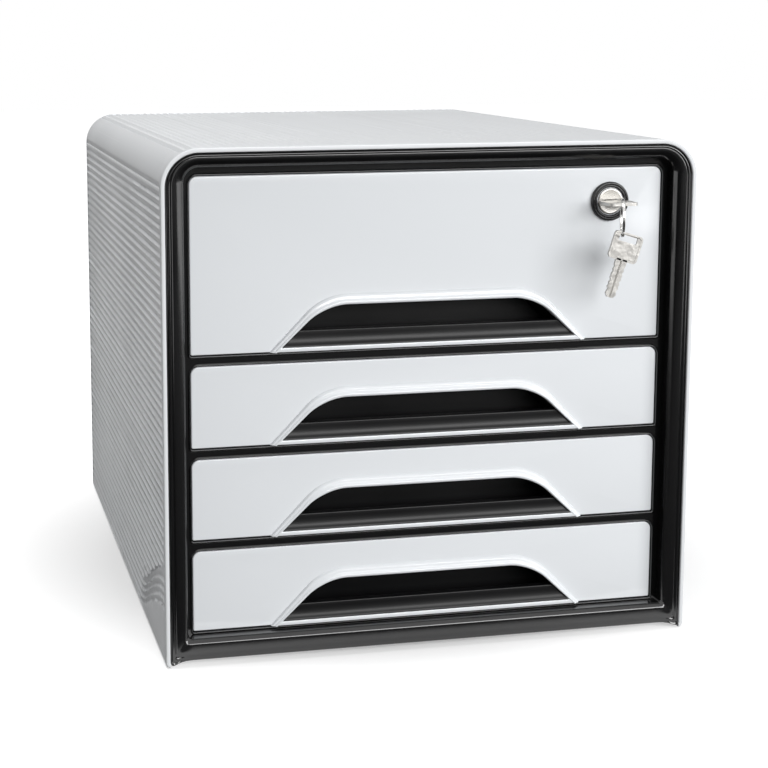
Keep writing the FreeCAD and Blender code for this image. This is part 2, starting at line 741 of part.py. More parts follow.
def back_screw_spots(sign):
    """Places of the back screws on one side."""
    x = f"{sign}({PANEL_X} - flange_reach / 2)"
    return [(x, f"{BASE_TOP} + screw_edge"), (x, f"{PANEL_TOP} - screw_edge")]


def foot_spots():
    """Names and places of the four feet."""
    spots = []
    for side, sign in (("left", "-"), ("right", "")):
        x = f"{sign}(cover_width / 2 - foot_inset_x)"
        spots.append((f"foot_front_{side}", x, f"{RIM_Y} + foot_inset_y"))
        spots.append((f"foot_back_{side}", x, f"{BACK_Y} - foot_inset_y"))
    return spots


def foot(name, x, y):
    """Rubber foot with a spigot through the base plate."""
    body = new_body(name)
    profile = [("0", "0"), ("foot_diameter / 2", "0"), ("foot_diameter / 2", FLANGE_TOP),
               ("foot_spigot / 2", FLANGE_TOP), ("foot_spigot / 2", BASE_TOP), ("0", BASE_TOP)]
    turn(body, sketch(body, "XZ_Plane", [profile]))
    return place(body, x, y, "0")


def base_plate():
    """Bottom plate lying on the cover's flanges, drilled for the feet and the screws."""
    side = f"({INNER_X} - base_inset)"
    depth = (f"{FACE_Y} + frame_skirt + fit_gap", f"{BACK_Y} - back_inset")
    plate = box("base_blank", (f"-{side}", side), depth, (FLANGE_TOP, BASE_TOP))
    below = f"{FLANGE_TOP} - 1"
    holes = []
    for name, x, y in foot_spots():
        holes.append(rod(name + "_hole", "foot_spigot + 2 * screw_play", x, y, below, "base_thickness + 2"))
    for sign in ("-", ""):
        for x, y in base_screw_spots(sign):
            name = f"base_hole_{len(holes)}"
            holes.append(rod(name, "screw_diameter + 2 * screw_hole_play", x, y, below, "base_thickness + 2"))
    return cut("base_plate", plate, *holes)


def back_panel():
    """Back panel inside the cover's rear edge, with its top corners rounded to suit."""
    body = new_body("back_blank")
    side = f"({INNER_X} - fit_gap)"
    roof = "cover_top - cover_wall - fit_gap"
    corner = "cover_corner - cover_wall - fit_gap"
    outline = rounded((f"-{side}", side), (BASE_TOP, roof), "frame_gap", corner)
    pad(body, sketch(body, "XZ_Plane", [outline], f"-{BACK_PANEL_Y}"), "back_thickness", reverse=True)
    holes = []
    for sign in ("-", ""):
        for x, z in back_screw_spots(sign):
            holes.append(rod(f"back_hole_{len(holes)}", "screw_diameter + 2 * screw_hole_play", x,
                             f"{BACK_PANEL_Y} - 1", z, "back_thickness + 2", BACKWARD))
    return cut("back_panel", body, *holes)


def base_screws():
    """Screws up through the base plate into the runner panels."""
    screws = []
    for sign in ("-", ""):
        for x, y in base_screw_spots(sign):
            name = f"base_screw_{len(screws) + 1}"
            below = f"{FLANGE_TOP} - screw_head_height"
            head = rod(name + "_head", "screw_head", x, y, below, "screw_head_height")
            shank = rod(name + "_shank", "screw_diameter", x, y, FLANGE_TOP, "screw_reach")
            screws.append(fuse(name, head, shank))
    return group("base_screws", *screws)


def back_screws():
    """Screws through the back panel into the runner panels."""
    screws = []
    outside = f"{BACK_PANEL_Y} + back_thickness"
    for sign in ("-", ""):
        for x, z in back_screw_spots(sign):
            name = f"back_screw_{len(screws) + 1}"
            head = rod(name + "_head", "screw_head", x, outside, z, "screw_head_height", BACKWARD)
            tip = f"{outside} - screw_reach"
            shank = rod(name + "_shank", "screw_diameter", x, tip, z, "screw_reach", BACKWARD)
            screws.append(fuse(name, head, shank))
    return group("back_screws", *screws)


def lock_body(name):
    """Body whose Z axis runs inward along the lock's axis from the drawer's front face."""
    body = new_body(name)
    body.Placement.Rotation = FreeCAD.Rotation(UP, BACKWARD)
    return place(body, LOCK_X, DRAWER_Y, LOCK_Z)


def lock_bezel():
    """Black ring that caps the front end of the lock barrel."""
    body = lock_body("lock_bezel")
    sleeve = "barrel_diameter / 2 + barrel_play"
    seat = "bezel_lip - bezel_height"
    profile = [("bezel_bore / 2", "-bezel_height"), ("bezel_diameter / 2", "-bezel_height"),
               ("bezel_diameter / 2", "0"), (sleeve, "0"), (sleeve, seat), ("bezel_bore / 2", seat)]
    turn(body, sketch(body, "XZ_Plane", [profile]))
    return body


def lock_barrel():
    """Fixed barrel that the plug turns in."""
    body = lock_body("lock_barrel")
    seat = "bezel_lip - bezel_height"
    head_floor = "plug_recess - bezel_height + plug_head_height + plug_end_gap"
    head_bore = "plug_head / 2 + barrel_play"
    bore = "plug_shaft / 2 + plug_play"
    outside = "barrel_diameter / 2"
    profile = [(head_bore, seat), (outside, seat), (outside, "barrel_length"), (bore, "barrel_length"),
               (bore, head_floor), (head_bore, head_floor)]
    turn(body, sketch(body, "XZ_Plane", [profile]))
    return body


def lock_nut():
    """Hexagonal nut that holds the barrel against the tray's front wall."""
    seat = f"{TRAY_Y} + tray_wall"
    hexagon = doc.addObject("Part::Prism", "nut_blank")
    hexagon.Polygon = 6
    bind(hexagon, Circumradius="nut_across / sqrt(3)", Height="nut_height")
    hexagon.Placement.Rotation = FreeCAD.Rotation(UP, BACKWARD)
    place(hexagon, LOCK_X, seat, LOCK_Z)
    return cut("lock_nut", hexagon, barrel_hole("nut_hole", "barrel_diameter + 2 * screw_play"))


def plug_depth(index):
    """Depth of a wafer's slot behind the drawer's face."""
    return f"(plug_recess - bezel_height + wafer_first + {index} * wafer_pitch)"


def lock_plug():
    """Turning plug with a keyway, wafer slots and a square tail for the cam."""
    body = lock_body("lock_plug")
    front = "plug_recess - bezel_height"
    shoulder = f"{front} + plug_head_height"
    end = "barrel_length + plug_end_gap"
    profile = [("0", front), ("plug_head / 2", front), ("plug_head / 2", shoulder),
               ("plug_shaft / 2", shoulder), ("plug_shaft / 2", end), ("0", end)]
    turn(body, sketch(body, "XZ_Plane", [profile]))
    square = rectangle(("-tail_square / 2", "tail_square / 2"), ("-tail_square / 2", "tail_square / 2"))
    pad(body, sketch(body, "XY_Plane", [square], end), "cam_thickness")
    keyway = rectangle(("-keyway_width / 2", "keyway_width / 2"), ("-keyway_height / 2", "keyway_height / 2"))
    pocket(body, sketch(body, "XY_Plane", [keyway], front), "keyway_depth", reverse=True)
    half_width = "(wafer_width / 2 + wafer_play)"
    half_height = "(wafer_height / 2 + wafer_play)"
    for index in range(round(number("wafer_count"))):
        slot = rectangle((f"-{half_width}", half_width), (f"-{half_height}", half_height))
        depth = f"{plug_depth(index)} - wafer_play"
        profile = sketch(body, "XY_Plane", [slot], depth)
        pocket(body, profile, "wafer_thickness + 2 * wafer_play", reverse=True)
    mouth = f"{end} + cam_thickness"
    depth = (f"{mouth} - cam_screw_reach - fit_gap", mouth)
    hole = rectangle(("0", "cam_screw_diameter / 2 + screw_play"), depth)
    bore = body.newObject("PartDesign::Groove", "lock_plug_bore")
    bore.Profile = sketch(body, "XZ_Plane", [hole])
    bore.ReferenceAxis = (bore.Profile[0], ["V_Axis"])
    return body


def lock_wafers():
    """Flat wafers in the plug, each with a window round the key's blade."""
    plate = rectangle(("-wafer_width / 2", "wafer_width / 2"), ("-wafer_height / 2", "wafer_height / 2"))
    width = ("-keyway_width / 2", "keyway_width / 2")
    opening = rectangle(width, ("-keyway_height / 2", "keyway_height / 2"))
    wafers = []
    for index in range(round(number("wafer_count"))):
        body = lock_body(f"wafer_{index + 1}")
        pad(body, sketch(body, "XY_Plane", [plate, opening], plug_depth(index)), "wafer_thickness")
        wafers.append(body)
    return group("lock_wafers", *wafers)


def lock_cam():
    """Bar on the plug's tail that turns up behind the frame's strike."""
    far = f"({LOCK_X} - cam_length + cam_width / 2)"
    y = (PLUG_END_Y, CAM_BACK_Y)
    bar = box("cam_bar", (far, LOCK_X), y,
              (f"{LOCK_Z} - cam_width / 2", f"{LOCK_Z} + cam_width / 2"))
    hub = rod("cam_hub", "cam_width", LOCK_X, PLUG_END_Y, LOCK_Z, "cam_thickness", BACKWARD)
    tip = rod("cam_tip", "cam_width", far, PLUG_END_Y, LOCK_Z, "cam_thickness", BACKWARD)
    half = "(tail_square / 2 + tail_play)"
    hole = box("cam_hole", (f"{LOCK_X} - {half}", f"{LOCK_X} + {half}"),
               (f"{PLUG_END_Y} - 1", f"{CAM_BACK_Y} + 1"), (f"{LOCK_Z} - {half}", f"{LOCK_Z} + {half}"))
    return cut("lock_cam", fuse("cam_blank", bar, hub, tip), hole)


def cam_screw():
    """Screw that holds the cam on the plug's tail."""
    spot = (LOCK_X, CAM_BACK_Y, LOCK_Z)
    head = rod("cam_screw_top", "cam_screw_head", *spot, "cam_screw_head_height", BACKWARD)
    tip = (LOCK_X, f"{CAM_BACK_Y} - cam_screw_reach", LOCK_Z)
    shank = rod("cam_screw_shank", "cam_screw_diameter", *tip, "cam_screw_reach", BACKWARD)
    return fuse("cam_screw", head, shank)


def key_body(name):
    """Flat key along its own Y axis, the blade towards +Y, the square bow with its slot towards -Y."""
    body = new_body(name)
    level = "-key_thickness / 2"
    bow = rounded(("-bow_width / 2", "bow_width / 2"), ("-bow_length", "0"), "bow_corner", "bow_corner")
    pad(body, sketch(body, "XY_Plane", [bow], level), "key_thickness")
    bits = []
    first = "blade_neck + bit_pitch / 2"
    for index in range(round(number("bit_count"))):
        bits.append(("blade_width / 2", f"{first} + {index} * bit_pitch"))
        bits.append(("blade_width / 2 - bit_depth", f"{first} + ({index} + 0.5) * bit_pitch"))
    right = [("blade_width / 2", "-bow_corner"), *bits, ("blade_tip / 2", "blade_length")]
    left = [(f"-({x})", y) for x, y in reversed(right)]
    pad(body, sketch(body, "XY_Plane", [right + left], level), "key_thickness")
    far = "-bow_length + bow_slot_margin"
    slot = rectangle(("-bow_slot_width / 2", "bow_slot_width / 2"), (far, f"{far} + bow_slot_height"))
    pocket(body, sketch(body, "XY_Plane", [slot], "key_thickness / 2"), "key_thickness")
    groove = rectangle(("-blade_groove / 2", "blade_groove / 2"), ("blade_neck", "blade_length"))
    pocket(body, sketch(body, "XY_Plane", [groove], "key_thickness / 2"), "blade_groove_depth")
    pocket(body, sketch(body, "XY_Plane", [groove], level), "blade_groove_depth", reverse=True)
    return body


def key():
    """Key in the lock, its bow lying flat."""
    return place(key_body("key"), LOCK_X, BOW_Y, LOCK_Z)


def key_ring():
    """Split ring of two turns through the key's slot."""
    turns = []
    normal = FreeCAD.Rotation(UP, -number("ring_turn")).multVec(RIGHT)
    for sign in ("-", ""):
        coil = doc.addObject("Part::Torus", "ring_turn_" + ("front" if sign else "back"))
        bind(coil, Radius1=RING_RADIUS, Radius2="ring_wire / 2")
        coil.Placement.Rotation = FreeCAD.Rotation(UP, normal)
        across = f"{sign}ring_turn_pitch / 2"
        place(coil, f"{RING_X} + {across} * cos(ring_turn)", f"{RING_Y} - {across} * sin(ring_turn)", RING_Z)
        turns.append(coil)
    return fuse("key_ring", *turns)


def spare_key():
    """Second key, hanging from the ring's lowest point with its weight under the ring's wire."""
    body = key_body("spare_key")
    doc.recompute()
    bar = number("bow_slot_margin - bow_length")
    hook = FreeCAD.Vector(-number("hook_side"), bar + number("ring_wire / 2 + hook_gap"), 0)
    weight = body.Shape.Solids[0].CenterOfMass - hook
    lean = math.degrees(math.atan2(weight.x, weight.y))
    hanging = FreeCAD.Rotation(BACKWARD, lean).multiply(FreeCAD.Rotation(RIGHT, -90))
    lowest = FreeCAD.Vector(number(RING_X), number(RING_Y), number(f"{RING_Z} - {RING_RADIUS}"))
    body.Placement = FreeCAD.Placement(lowest - hanging.multVec(hook), hanging)
    return body


PANEL_NAMES = [f"drawer_front_{DRAWERS - index}" for index in range(DRAWERS)]
TRAY_NAMES = [f"drawer_tray_{DRAWERS - index}" for index in range(DRAWERS)]

pieces = [outer_cover(), front_frame()]
pieces += [runner_panel("left_runner_panel", "-"), runner_panel("right_runner_panel", "")]
pieces += [back_panel(), base_plate(), base_screws(), back_screws()]
pieces += [foot(name, x, y) for name, x, y in foot_spots()]
pieces += [front_panel(index) for index in range(DRAWERS)]
pieces += [tray(index) for index in range(DRAWERS)]
pieces += [lock_bezel(), lock_barrel(), lock_nut(), lock_plug(), lock_wafers(), lock_cam(), cam_screw()]
pieces += [key(), key_ring(), spare_key()]
doc.recompute()

for item in doc.Objects:
    if "Invalid" in item.State or "Error" in item.State:
        raise RuntimeError(f"{item.Name} did not build")
    if item.TypeId in ("PartDesign::Pocket", "PartDesign::Groove"):
        if item.Shape.Volume >= item.BaseFeature.Shape.Volume:
            raise RuntimeError(f"{item.Name} takes nothing away")

os.makedirs("parts", exist_ok=True)
for piece in pieces:
    if piece.Shape.isNull() or not piece.Shape.isValid():
        raise RuntimeError(f"{piece.Name} has no sound shape")
    piece.Shape.exportStep(f"parts/{piece.Label}.step")
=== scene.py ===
import math

import bmesh
import bpy
from mathutils import Euler, Matrix, Vector


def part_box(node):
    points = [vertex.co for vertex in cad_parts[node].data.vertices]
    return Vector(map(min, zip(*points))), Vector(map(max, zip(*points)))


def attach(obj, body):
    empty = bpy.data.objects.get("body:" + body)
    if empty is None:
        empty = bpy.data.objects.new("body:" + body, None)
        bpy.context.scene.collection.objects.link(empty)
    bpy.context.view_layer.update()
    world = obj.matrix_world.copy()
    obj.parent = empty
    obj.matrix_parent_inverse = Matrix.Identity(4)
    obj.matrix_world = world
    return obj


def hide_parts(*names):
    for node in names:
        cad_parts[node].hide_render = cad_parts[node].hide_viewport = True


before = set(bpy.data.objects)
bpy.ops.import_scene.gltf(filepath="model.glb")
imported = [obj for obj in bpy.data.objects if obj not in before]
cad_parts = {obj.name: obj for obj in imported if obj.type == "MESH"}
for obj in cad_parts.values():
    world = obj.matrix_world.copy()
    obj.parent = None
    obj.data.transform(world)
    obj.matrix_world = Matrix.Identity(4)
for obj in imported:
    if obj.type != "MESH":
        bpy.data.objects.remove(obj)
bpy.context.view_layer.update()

# --- Outer cover ------------------------------------------------------------------------------
# One moulded polystyrene shell over the top and both sides, ribbed from front to back. Its rim is plain
# and rounded, and at each lower front corner the ribs rise in waves over a bare pad.


def linear(hex_colour):
    """sRGB hex colour as linear values with full opacity."""
    parts = [int(hex_colour[place:place + 2], 16) / 255 for place in (1, 3, 5)]
    return [part / 12.92 if part <= 0.04045 else ((part + 0.055) / 1.055) ** 2.4 for part in parts] + [1.0]


def add(tree, kind, inputs=None, **settings):
    """Add a node. An input takes a value, or the output socket that feeds it."""
    made = tree.nodes.new(kind)
    for name, value in settings.items():
        setattr(made, name, value)
    for name, value in (inputs or {}).items():
        if isinstance(value, bpy.types.NodeSocket):
            tree.links.new(value, made.inputs[name])
        else:
            made.inputs[name].default_value = value
    return made


def new_material(name, colour, **surface):
    """Material with its shader's own sockets set. Returns it with its node tree and shader."""
    made = bpy.data.materials.new(name)
    made.use_nodes = True
    shader = made.node_tree.nodes["Principled BSDF"]
    shader.inputs["Base Color"].default_value = linear(colour)
    for socket, value in surface.items():
        shader.inputs[socket.replace("_", " ")].default_value = value
    return made, made.node_tree, shader


def noise(tree, scale, detail):
    """Fine or broad patches through the object, from 0 to 1."""
    coords = add(tree, "ShaderNodeTexCoord")
    return add(tree, "ShaderNodeTexNoise", {"Vector": coords.outputs["Object"], "Scale": scale,
                                            "Detail": detail}).outputs["Fac"]


def raised(tree, shader, height, strength, distance):
    """Raise a surface by a height from 0 to 1, as a bump."""
    bump = add(tree, "ShaderNodeBump", {"Height": height, "Strength": strength, "Distance": distance})
    tree.links.new(bump.outputs["Normal"], shader.inputs["Normal"])


def uneven(tree, shader, share, low, high):
    """Let a surface's roughness run between two levels with a share from 0 to 1."""
    gloss = add(tree, "ShaderNodeMapRange", {"Value": share, "To Min": low, "To Max": high})
    tree.links.new(gloss.outputs["Result"], shader.inputs["Roughness"])


def smooth(value):
    """Ease from 0 to 1."""
    value = min(1.0, max(0.0, value))
    return value * value * (3 - 2 * value)


def between(steps, share):
    """Value at a share of the way through a list of (share, value) steps."""
    for (start, low), (end, high) in zip(steps, steps[1:]):
        if share <= end:
            return low + (high - low) * (share - start) / (end - start)
    return steps[-1][1]


def outline(bm, points, depth, radii, segments=16):
    """Flat face across the front through (x, z) points at one depth, with its corners rounded."""
    before = set(bm.faces)
    corners = [bm.verts.new((x, depth, z)) for x, z in points]
    bm.faces.new(corners)
    for corner, radius in zip(corners, radii):
        if radius:
            bmesh.ops.bevel(bm, geom=[corner], offset=radius, offset_type="OFFSET", segments=segments,
                            profile=0.5, affect="VERTICES", material=-1)
    return next(face for face in bm.faces if face not in before)


def open_outline(bm, face):
    """Take a face away and keep its edges, which are returned."""
    edges = list(face.edges)
    bmesh.ops.delete(bm, geom=[face], context="FACES_ONLY")
    return edges


def extruded(bm, edges, move):
    """Extrude edges, move the new points, and return the new edges."""
    made = bmesh.ops.extrude_edge_only(bm, edges=edges)["geom"]
    for vert in made:
        if isinstance(vert, bmesh.types.BMVert):
            vert.co = move(vert.co.copy())
    return [edge for edge in made if isinstance(edge, bmesh.types.BMEdge)]


def block(bm, low, high):
    """Box between two corners."""
    centre = (Vector(low) + Vector(high)) / 2
    size = Vector(high) - Vector(low)
    matrix = Matrix.Translation(centre) @ Matrix.Diagonal((*size, 1))
    return bmesh.ops.create_cube(bm, size=1, matrix=matrix)["verts"]


def mesh_object(bm, name):
    """Turn a bmesh into an object of the scene."""
    mesh = bpy.data.meshes.new(name)
    bm.to_mesh(mesh)
    bm.free()
    made = bpy.data.objects.new(name, mesh)
    bpy.context.scene.collection.objects.link(made)
    return made


def finished(bm, name, body, finish, replaces=(), sharp=32):
    """Make a bmesh in millimetres into a piece that rides on a body. Edges past an angle stay sharp."""
    bmesh.ops.scale(bm, vec=(0.001, 0.001, 0.001), verts=bm.verts)
    for face in bm.faces:
        face.smooth = True
    for edge in bm.edges:
        edge.smooth = edge.calc_face_angle(0) < math.radians(sharp)
    made = mesh_object(bm, name)
    made.data.materials.append(finish)
    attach(made, body)
    if replaces:
        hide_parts(*replaces)
    return made


def cut_away(bm, tool):
    """Take one bmesh's solids away from another's, and return what is left."""
    solid, cutter = [mesh_object(shape, "cutting") for shape in (bm, tool)]
    cut = solid.modifiers.new("cut", "BOOLEAN")
    cut.object = cutter
    cut.solver = "EXACT"
    left = bmesh.new()
    left.from_object(solid, bpy.context.evaluated_depsgraph_get())
    for item in (solid, cutter):
        mesh = item.data
        bpy.data.objects.remove(item)
        bpy.data.meshes.remove(mesh)
    return left


cover_low, cover_high = (corner * 1000 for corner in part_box("outer_cover"))
RIM_Y, BACK_Y, HALF, TOP = cover_low.y, cover_high.y, cover_high.x, cover_high.z
WALL, CROWN, FOOT, FLANGE = 2.4, 20.0, 2.6, 12.0
RIM_ROUND, REAR_ROUND, NOTCH = 0.8, 0.35, 14
RIBS, STEPS, CUTS = 51, 8, 58
RIB_DEPTH, ROOF_DEPTH, CROWN_EDGE = 1.1, 1.0, 3.5
# The rim is plain for a band that ends in a thin groove, and the ribs start behind it.
RIM_BAND, RIB_START = 3.9, 1.3
GROOVE_PLACE, GROOVE_HALF, GROOVE_DEPTH = 3.5, 0.75, 0.45
# Towards the rim the lowest ribs climb in a wave, and the pad under them climbs a little less.
WAVE_RIBS, WAVE_RISE, WAVE_RUN, RIB_MEET = 4, 29.0, 88, 1.6
PAD_RISE, PAD_START, PAD_RUN = 27.8, 100, 98
# Drop along a side rib from its foot up, as shares of its pitch and depth: a long slope that leans out,
# and a short ledge on top.
LAP = ((0, 1.0), (0.6, 0.16), (0.75, 0.0), (0.87, 0.35), (1, 1.0))
SIDE_LOW, SIDE_HIGH = cover_low.z + FOOT, TOP - CROWN
# Points along a rib, as (share of the points, depth behind the rim): close together where the ribs wave.
STATIONS = ((0, 0.9), (0.12, 6.6), (0.93, 116), (1, BACK_Y - RIM_Y - 0.4))
CLOSE = 0.01

shell = bmesh.new()
section = outline(shell, [(-HALF, cover_low.z), (-HALF + FLANGE, cover_low.z), (HALF - FLANGE, cover_low.z),
                          (HALF, cover_low.z), (HALF, TOP), (-HALF, TOP)],
                  RIM_Y, [FOOT, 0, 0, FOOT, CROWN, CROWN], 36)
open_outline(shell, section)
shell.edges.ensure_lookup_table()
lengths = {edge: edge.calc_length() for edge in shell.edges}
gap = [edge for edge, length in lengths.items() if max(vert.co.z for vert in edge.verts) < cover_low.z + CLOSE
       and length > 3 * FLANGE]
bmesh.ops.delete(shell, geom=gap, context="EDGES")
straight = [edge for edge, length in lengths.items() if edge.is_valid and length > 3 * FLANGE]
bmesh.ops.subdivide_edges(shell, edges=straight, cuts=RIBS * STEPS - 1)
extruded(shell, list(shell.edges), lambda spot: Vector((spot.x, BACK_Y, spot.z)))
outside = set(shell.verts)
top_face = max(shell.faces, key=lambda face: face.calc_center_median().z)
bmesh.ops.recalc_face_normals(shell, faces=shell.faces)
if top_face.normal.z < 0:
    bmesh.ops.reverse_faces(shell, faces=shell.faces)
bmesh.ops.solidify(shell, geom=shell.faces[:], thickness=WALL)

# The rim and the rear edge are rounded, and the foot flanges stop short of the front.
ends = [edge for edge in shell.edges if abs(edge.verts[0].co.y - edge.verts[1].co.y) < 0.001
        and len({vert in outside for vert in edge.verts}) == 1 and edge.calc_face_angle(0) > 1]
rim = [edge for edge in ends if edge.verts[0].co.y < 0]
bmesh.ops.bevel(shell, geom=rim, offset=RIM_ROUND, offset_type="OFFSET", segments=4, profile=0.5,
                affect="EDGES", material=-1)
rear = [edge for edge in ends if edge.is_valid and edge.verts[0].co.y > 0]
bmesh.ops.bevel(shell, geom=rear, offset=REAR_ROUND, offset_type="OFFSET", segments=2, profile=0.5,
                affect="EDGES", material=-1)
notch = bmesh.new()
block(notch, (-HALF + WALL, RIM_Y - 5, -5), (HALF - WALL, RIM_Y + NOTCH, SIDE_LOW))
shell = cut_away(shell, notch)


def rise(y, start, run):
    """Share of a wave's rise at a depth, from its start towards the rim."""
    return smooth(max(0.0, (start - (y - RIM_Y)) / run) ** 0.8)


def reed(run, pitch):
    """Drop of a round rib on the top below its crest, at a distance across the ribs."""
    return ROOF_DEPTH * (0.5 + 0.5 * math.cos(2 * math.pi * run / pitch))


def side_drop(y, z):
    """Drop of the side below its ribs' crests. At the front the lowest ribs climb over a bare pad."""
    pitch = (SIDE_HIGH - SIDE_LOW) / RIBS
    wave = SIDE_LOW + WAVE_RIBS * pitch + WAVE_RISE * rise(y, WAVE_RUN, WAVE_RUN)
    pad = SIDE_LOW + PAD_RISE * rise(y, PAD_START, PAD_RUN)
    if z < pad:
        return 0.0
    if z < wave:
        return RIB_DEPTH * between(LAP, WAVE_RIBS * (z - pad) / (wave - pad) % 1)
    drop = RIB_DEPTH * between(LAP, (z - SIDE_LOW) / pitch % 1)
    climbs = wave > SIDE_LOW + (WAVE_RIBS + 0.1) * pitch
    return drop * smooth((z - wave) / RIB_MEET) if climbs else drop


def reed_drop(vert):
    """Depth of the cover's surface under its ribs' crests, and the way inward."""
    x, y, z = vert.co
    behind = y - RIM_Y
    side = -1 if x < 0 else 1
    depth, inward = 0.0, Vector((-side, 0, 0))
    if abs(abs(x) - HALF) < CLOSE and SIDE_LOW <= z <= SIDE_HIGH:
        depth = side_drop(y, z)
    elif z > SIDE_HIGH:
        pitch = 2 * (HALF - CROWN) / RIBS
        if abs(x) <= HALF - CROWN + 0.001:
            depth = reed(x + HALF - CROWN, pitch)
            inward = Vector((0, 0, -1))
        else:
            inward = (Vector((side * (HALF - CROWN), y, SIDE_HIGH)) - vert.co).normalized()
            run = CROWN * math.acos(min(1.0, -inward.z))
            if run < 2 * pitch:
                depth = reed(run, pitch)
            climb = CROWN * math.pi / 2 - run
            depth += RIB_DEPTH * (1 - smooth(climb / CROWN_EDGE))
    groove = GROOVE_DEPTH * max(0.0, 1 - abs(behind - GROOVE_PLACE) / GROOVE_HALF)
    return max(depth * smooth((behind - RIM_BAND) / RIB_START), groove), inward


def on_surface(vert):
    """Whether a point lies on the outside of the cover above its foot curves."""
    x, z = abs(vert.co.x), vert.co.z
    if z < SIDE_LOW - 0.001:
        return False
    if z <= SIDE_HIGH:
        return x > HALF - CLOSE
    if x <= HALF - CROWN:
        return z > TOP - CLOSE
    return math.hypot(x - HALF + CROWN, z - SIDE_HIGH) > CROWN - 2 * CLOSE


lines = [edge for edge in shell.edges if edge.calc_length() > 300 and on_surface(edge.verts[0])]
bmesh.ops.subdivide_edges(shell, edges=lines, cuts=CUTS, use_grid_fill=True)
first, last = RIM_Y + RIM_ROUND, BACK_Y - REAR_ROUND
for vert in shell.verts:
    if vert.co.y <= first + 0.05 or not on_surface(vert):
        continue
    if vert.co.y < last - 0.05:
        vert.co.y = RIM_Y + between(STATIONS, (vert.co.y - first) / (last - first))
    depth, inward = reed_drop(vert)
    vert.co += inward * depth
LEVEL = math.radians(0.05)
flat = [edge for edge in shell.edges if edge.calc_face_angle(0) < LEVEL]
bmesh.ops.dissolve_limit(shell, angle_limit=LEVEL, edges=flat, verts=[], delimit=set())

# Polystyrene, injection moulded with a satin skin: soft sheen, with the mould's fine spark grain.
cover_plastic, tree, shader = new_material("white_polystyrene_satin", "#DEE0E2", Roughness=0.4, IOR=1.55,
                                           Specular_IOR_Level=0.08)
raised(tree, shader, noise(tree, 1600.0, 3.0), 0.12, 0.0001)
uneven(tree, shader, noise(tree, 14.0, 2.0), 0.36, 0.5)
finished(shell, "cover_shell", "cabinet", cover_plastic, ["outer_cover"])

# --- Front frame ------------------------------------------------------------------------------
# Gloss black polystyrene surround with a border that rolls towards its opening, a thin bead near the
# cover's rim, and a thin raised bead round each window. It slides into the cover from the front.

frame_low, frame_high = (corner * 1000 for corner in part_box("front_frame"))
FRAME_X, FRAME_TOP, FACE_Y = frame_high.x, frame_high.z, frame_low.y
FRAME_LOW, PLATE_Y, PLATE_BACK = 3.2, FACE_Y + 9.1, FACE_Y + 12.6
BORDER_X, BORDER_LOW, BORDER_TOP = FRAME_X - 9.45, 14.7, FRAME_TOP - 7.15
SKIRT, SKIRT_WALL, STEP = 26.0, 2.0, 0.5
RAIL, RAIL_GAP, RAIL_TOP, RAIL_OVERLAP = 8.0, 0.6, 2.0, 0.2
LOCK_X, LOCK_Z = 98.7, 237.0
STRIKE_HALF, STRIKE_HIGH = 13.0, 4.5
OUTER_FOOT, OUTER_CROWN, INNER_FOOT, INNER_CROWN = 1.85, 17.35, 1.5, 8.0
# Places across the border are shares of its width, from the cover's rim to the opening. Drops are in mm.
EDGE_END, EDGE_DROP = 0.05, 0.5
BED_START, BED_END, BED_EASE, BED_DROP = 0.03, 0.3, 0.05, 0.5
BEAD_PLACE, BEAD_HALF = 0.17, 0.085
ROLL_START, ROLL_DROP = 0.42, 2.5
FOOT_ROUND, FOOT_ROUND_DROP, FOOT_ROLL, FOOT_ROLL_DROP = 0.45, 1.6, 0.76, 2.4
FOOT_ABOVE, FOOT_BLEND, SIDE_EDGE, SIDE_BLEND = 4, 6, 3, 8
FLARE_WIDE, FLARE_DROP = 9.5, 2.0
WINDOW_LAP, WINDOW_FOOT, WINDOW_CROWN = 1.6, 2.4, 5.9
# The bead round a window, as (width, rise) steps towards it.
WINDOW_BEAD = ((0.1, 0.1), (0.45, 0.45), (0.1, 0.05), (0.25, 0.0), (0.1, -0.05), (0.2, -0.55))
fronts = [[corner * 1000 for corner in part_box(f"drawer_front_{place}")] for place in (1, 2, 3, 4)]
surround = bmesh.new()
across = surround.verts.layers.float.new("across")


def ring_outline(half, low, high, depth, foot_radius, crown_radius):
    """Rounded outline with extra points near the ends of its foot, as a loop of edges."""
    face = outline(surround, [(-half, low), (half, low), (half, high), (-half, high)], depth,
                   [foot_radius, foot_radius, crown_radius, crown_radius])
    foot = min(face.edges, key=lambda edge: sum(vert.co.z for vert in edge.verts))
    bmesh.ops.subdivide_edges(surround, edges=[foot], cuts=40)
    for vert in face.verts:
        if vert.co.z < low + 0.001:
            vert.co.x = (half - foot_radius) * math.sin(vert.co.x / (half - foot_radius) * math.pi / 2)
    return open_outline(surround, face)


def left_before(share, end):
    """What is left before a place, as a part of the way to it: 1 at the start and 0 from there on."""
    return max(0.0, 1 - share / end)


def gone_past(share, start):
    """How far a share is past a place: 0 up to there and 1 at the opening."""
    return max(0.0, (share - start) / (1 - start))


def side_profile(share):
    """Drop of the border at the sides and the top: a bead in its bed, then a roll towards the opening."""
    rolled = ROLL_DROP * gone_past(share, ROLL_START) ** 2
    if share >= BED_END:
        return rolled + BED_DROP * left_before(share - BED_END, BED_EASE)
    bead = 1 - min(1.0, ((share - BEAD_PLACE) / BEAD_HALF) ** 2)
    return rolled + BED_DROP * (smooth((share - BED_START) / BED_EASE) - math.sqrt(bead))


def foot_profile(share):
    """Drop of the border at its foot: rounded towards the desk, then a short roll towards the opening."""
    return (FOOT_ROUND_DROP * left_before(share, FOOT_ROUND) ** 2
            + FOOT_ROLL_DROP * gone_past(share, FOOT_ROLL) ** 2)


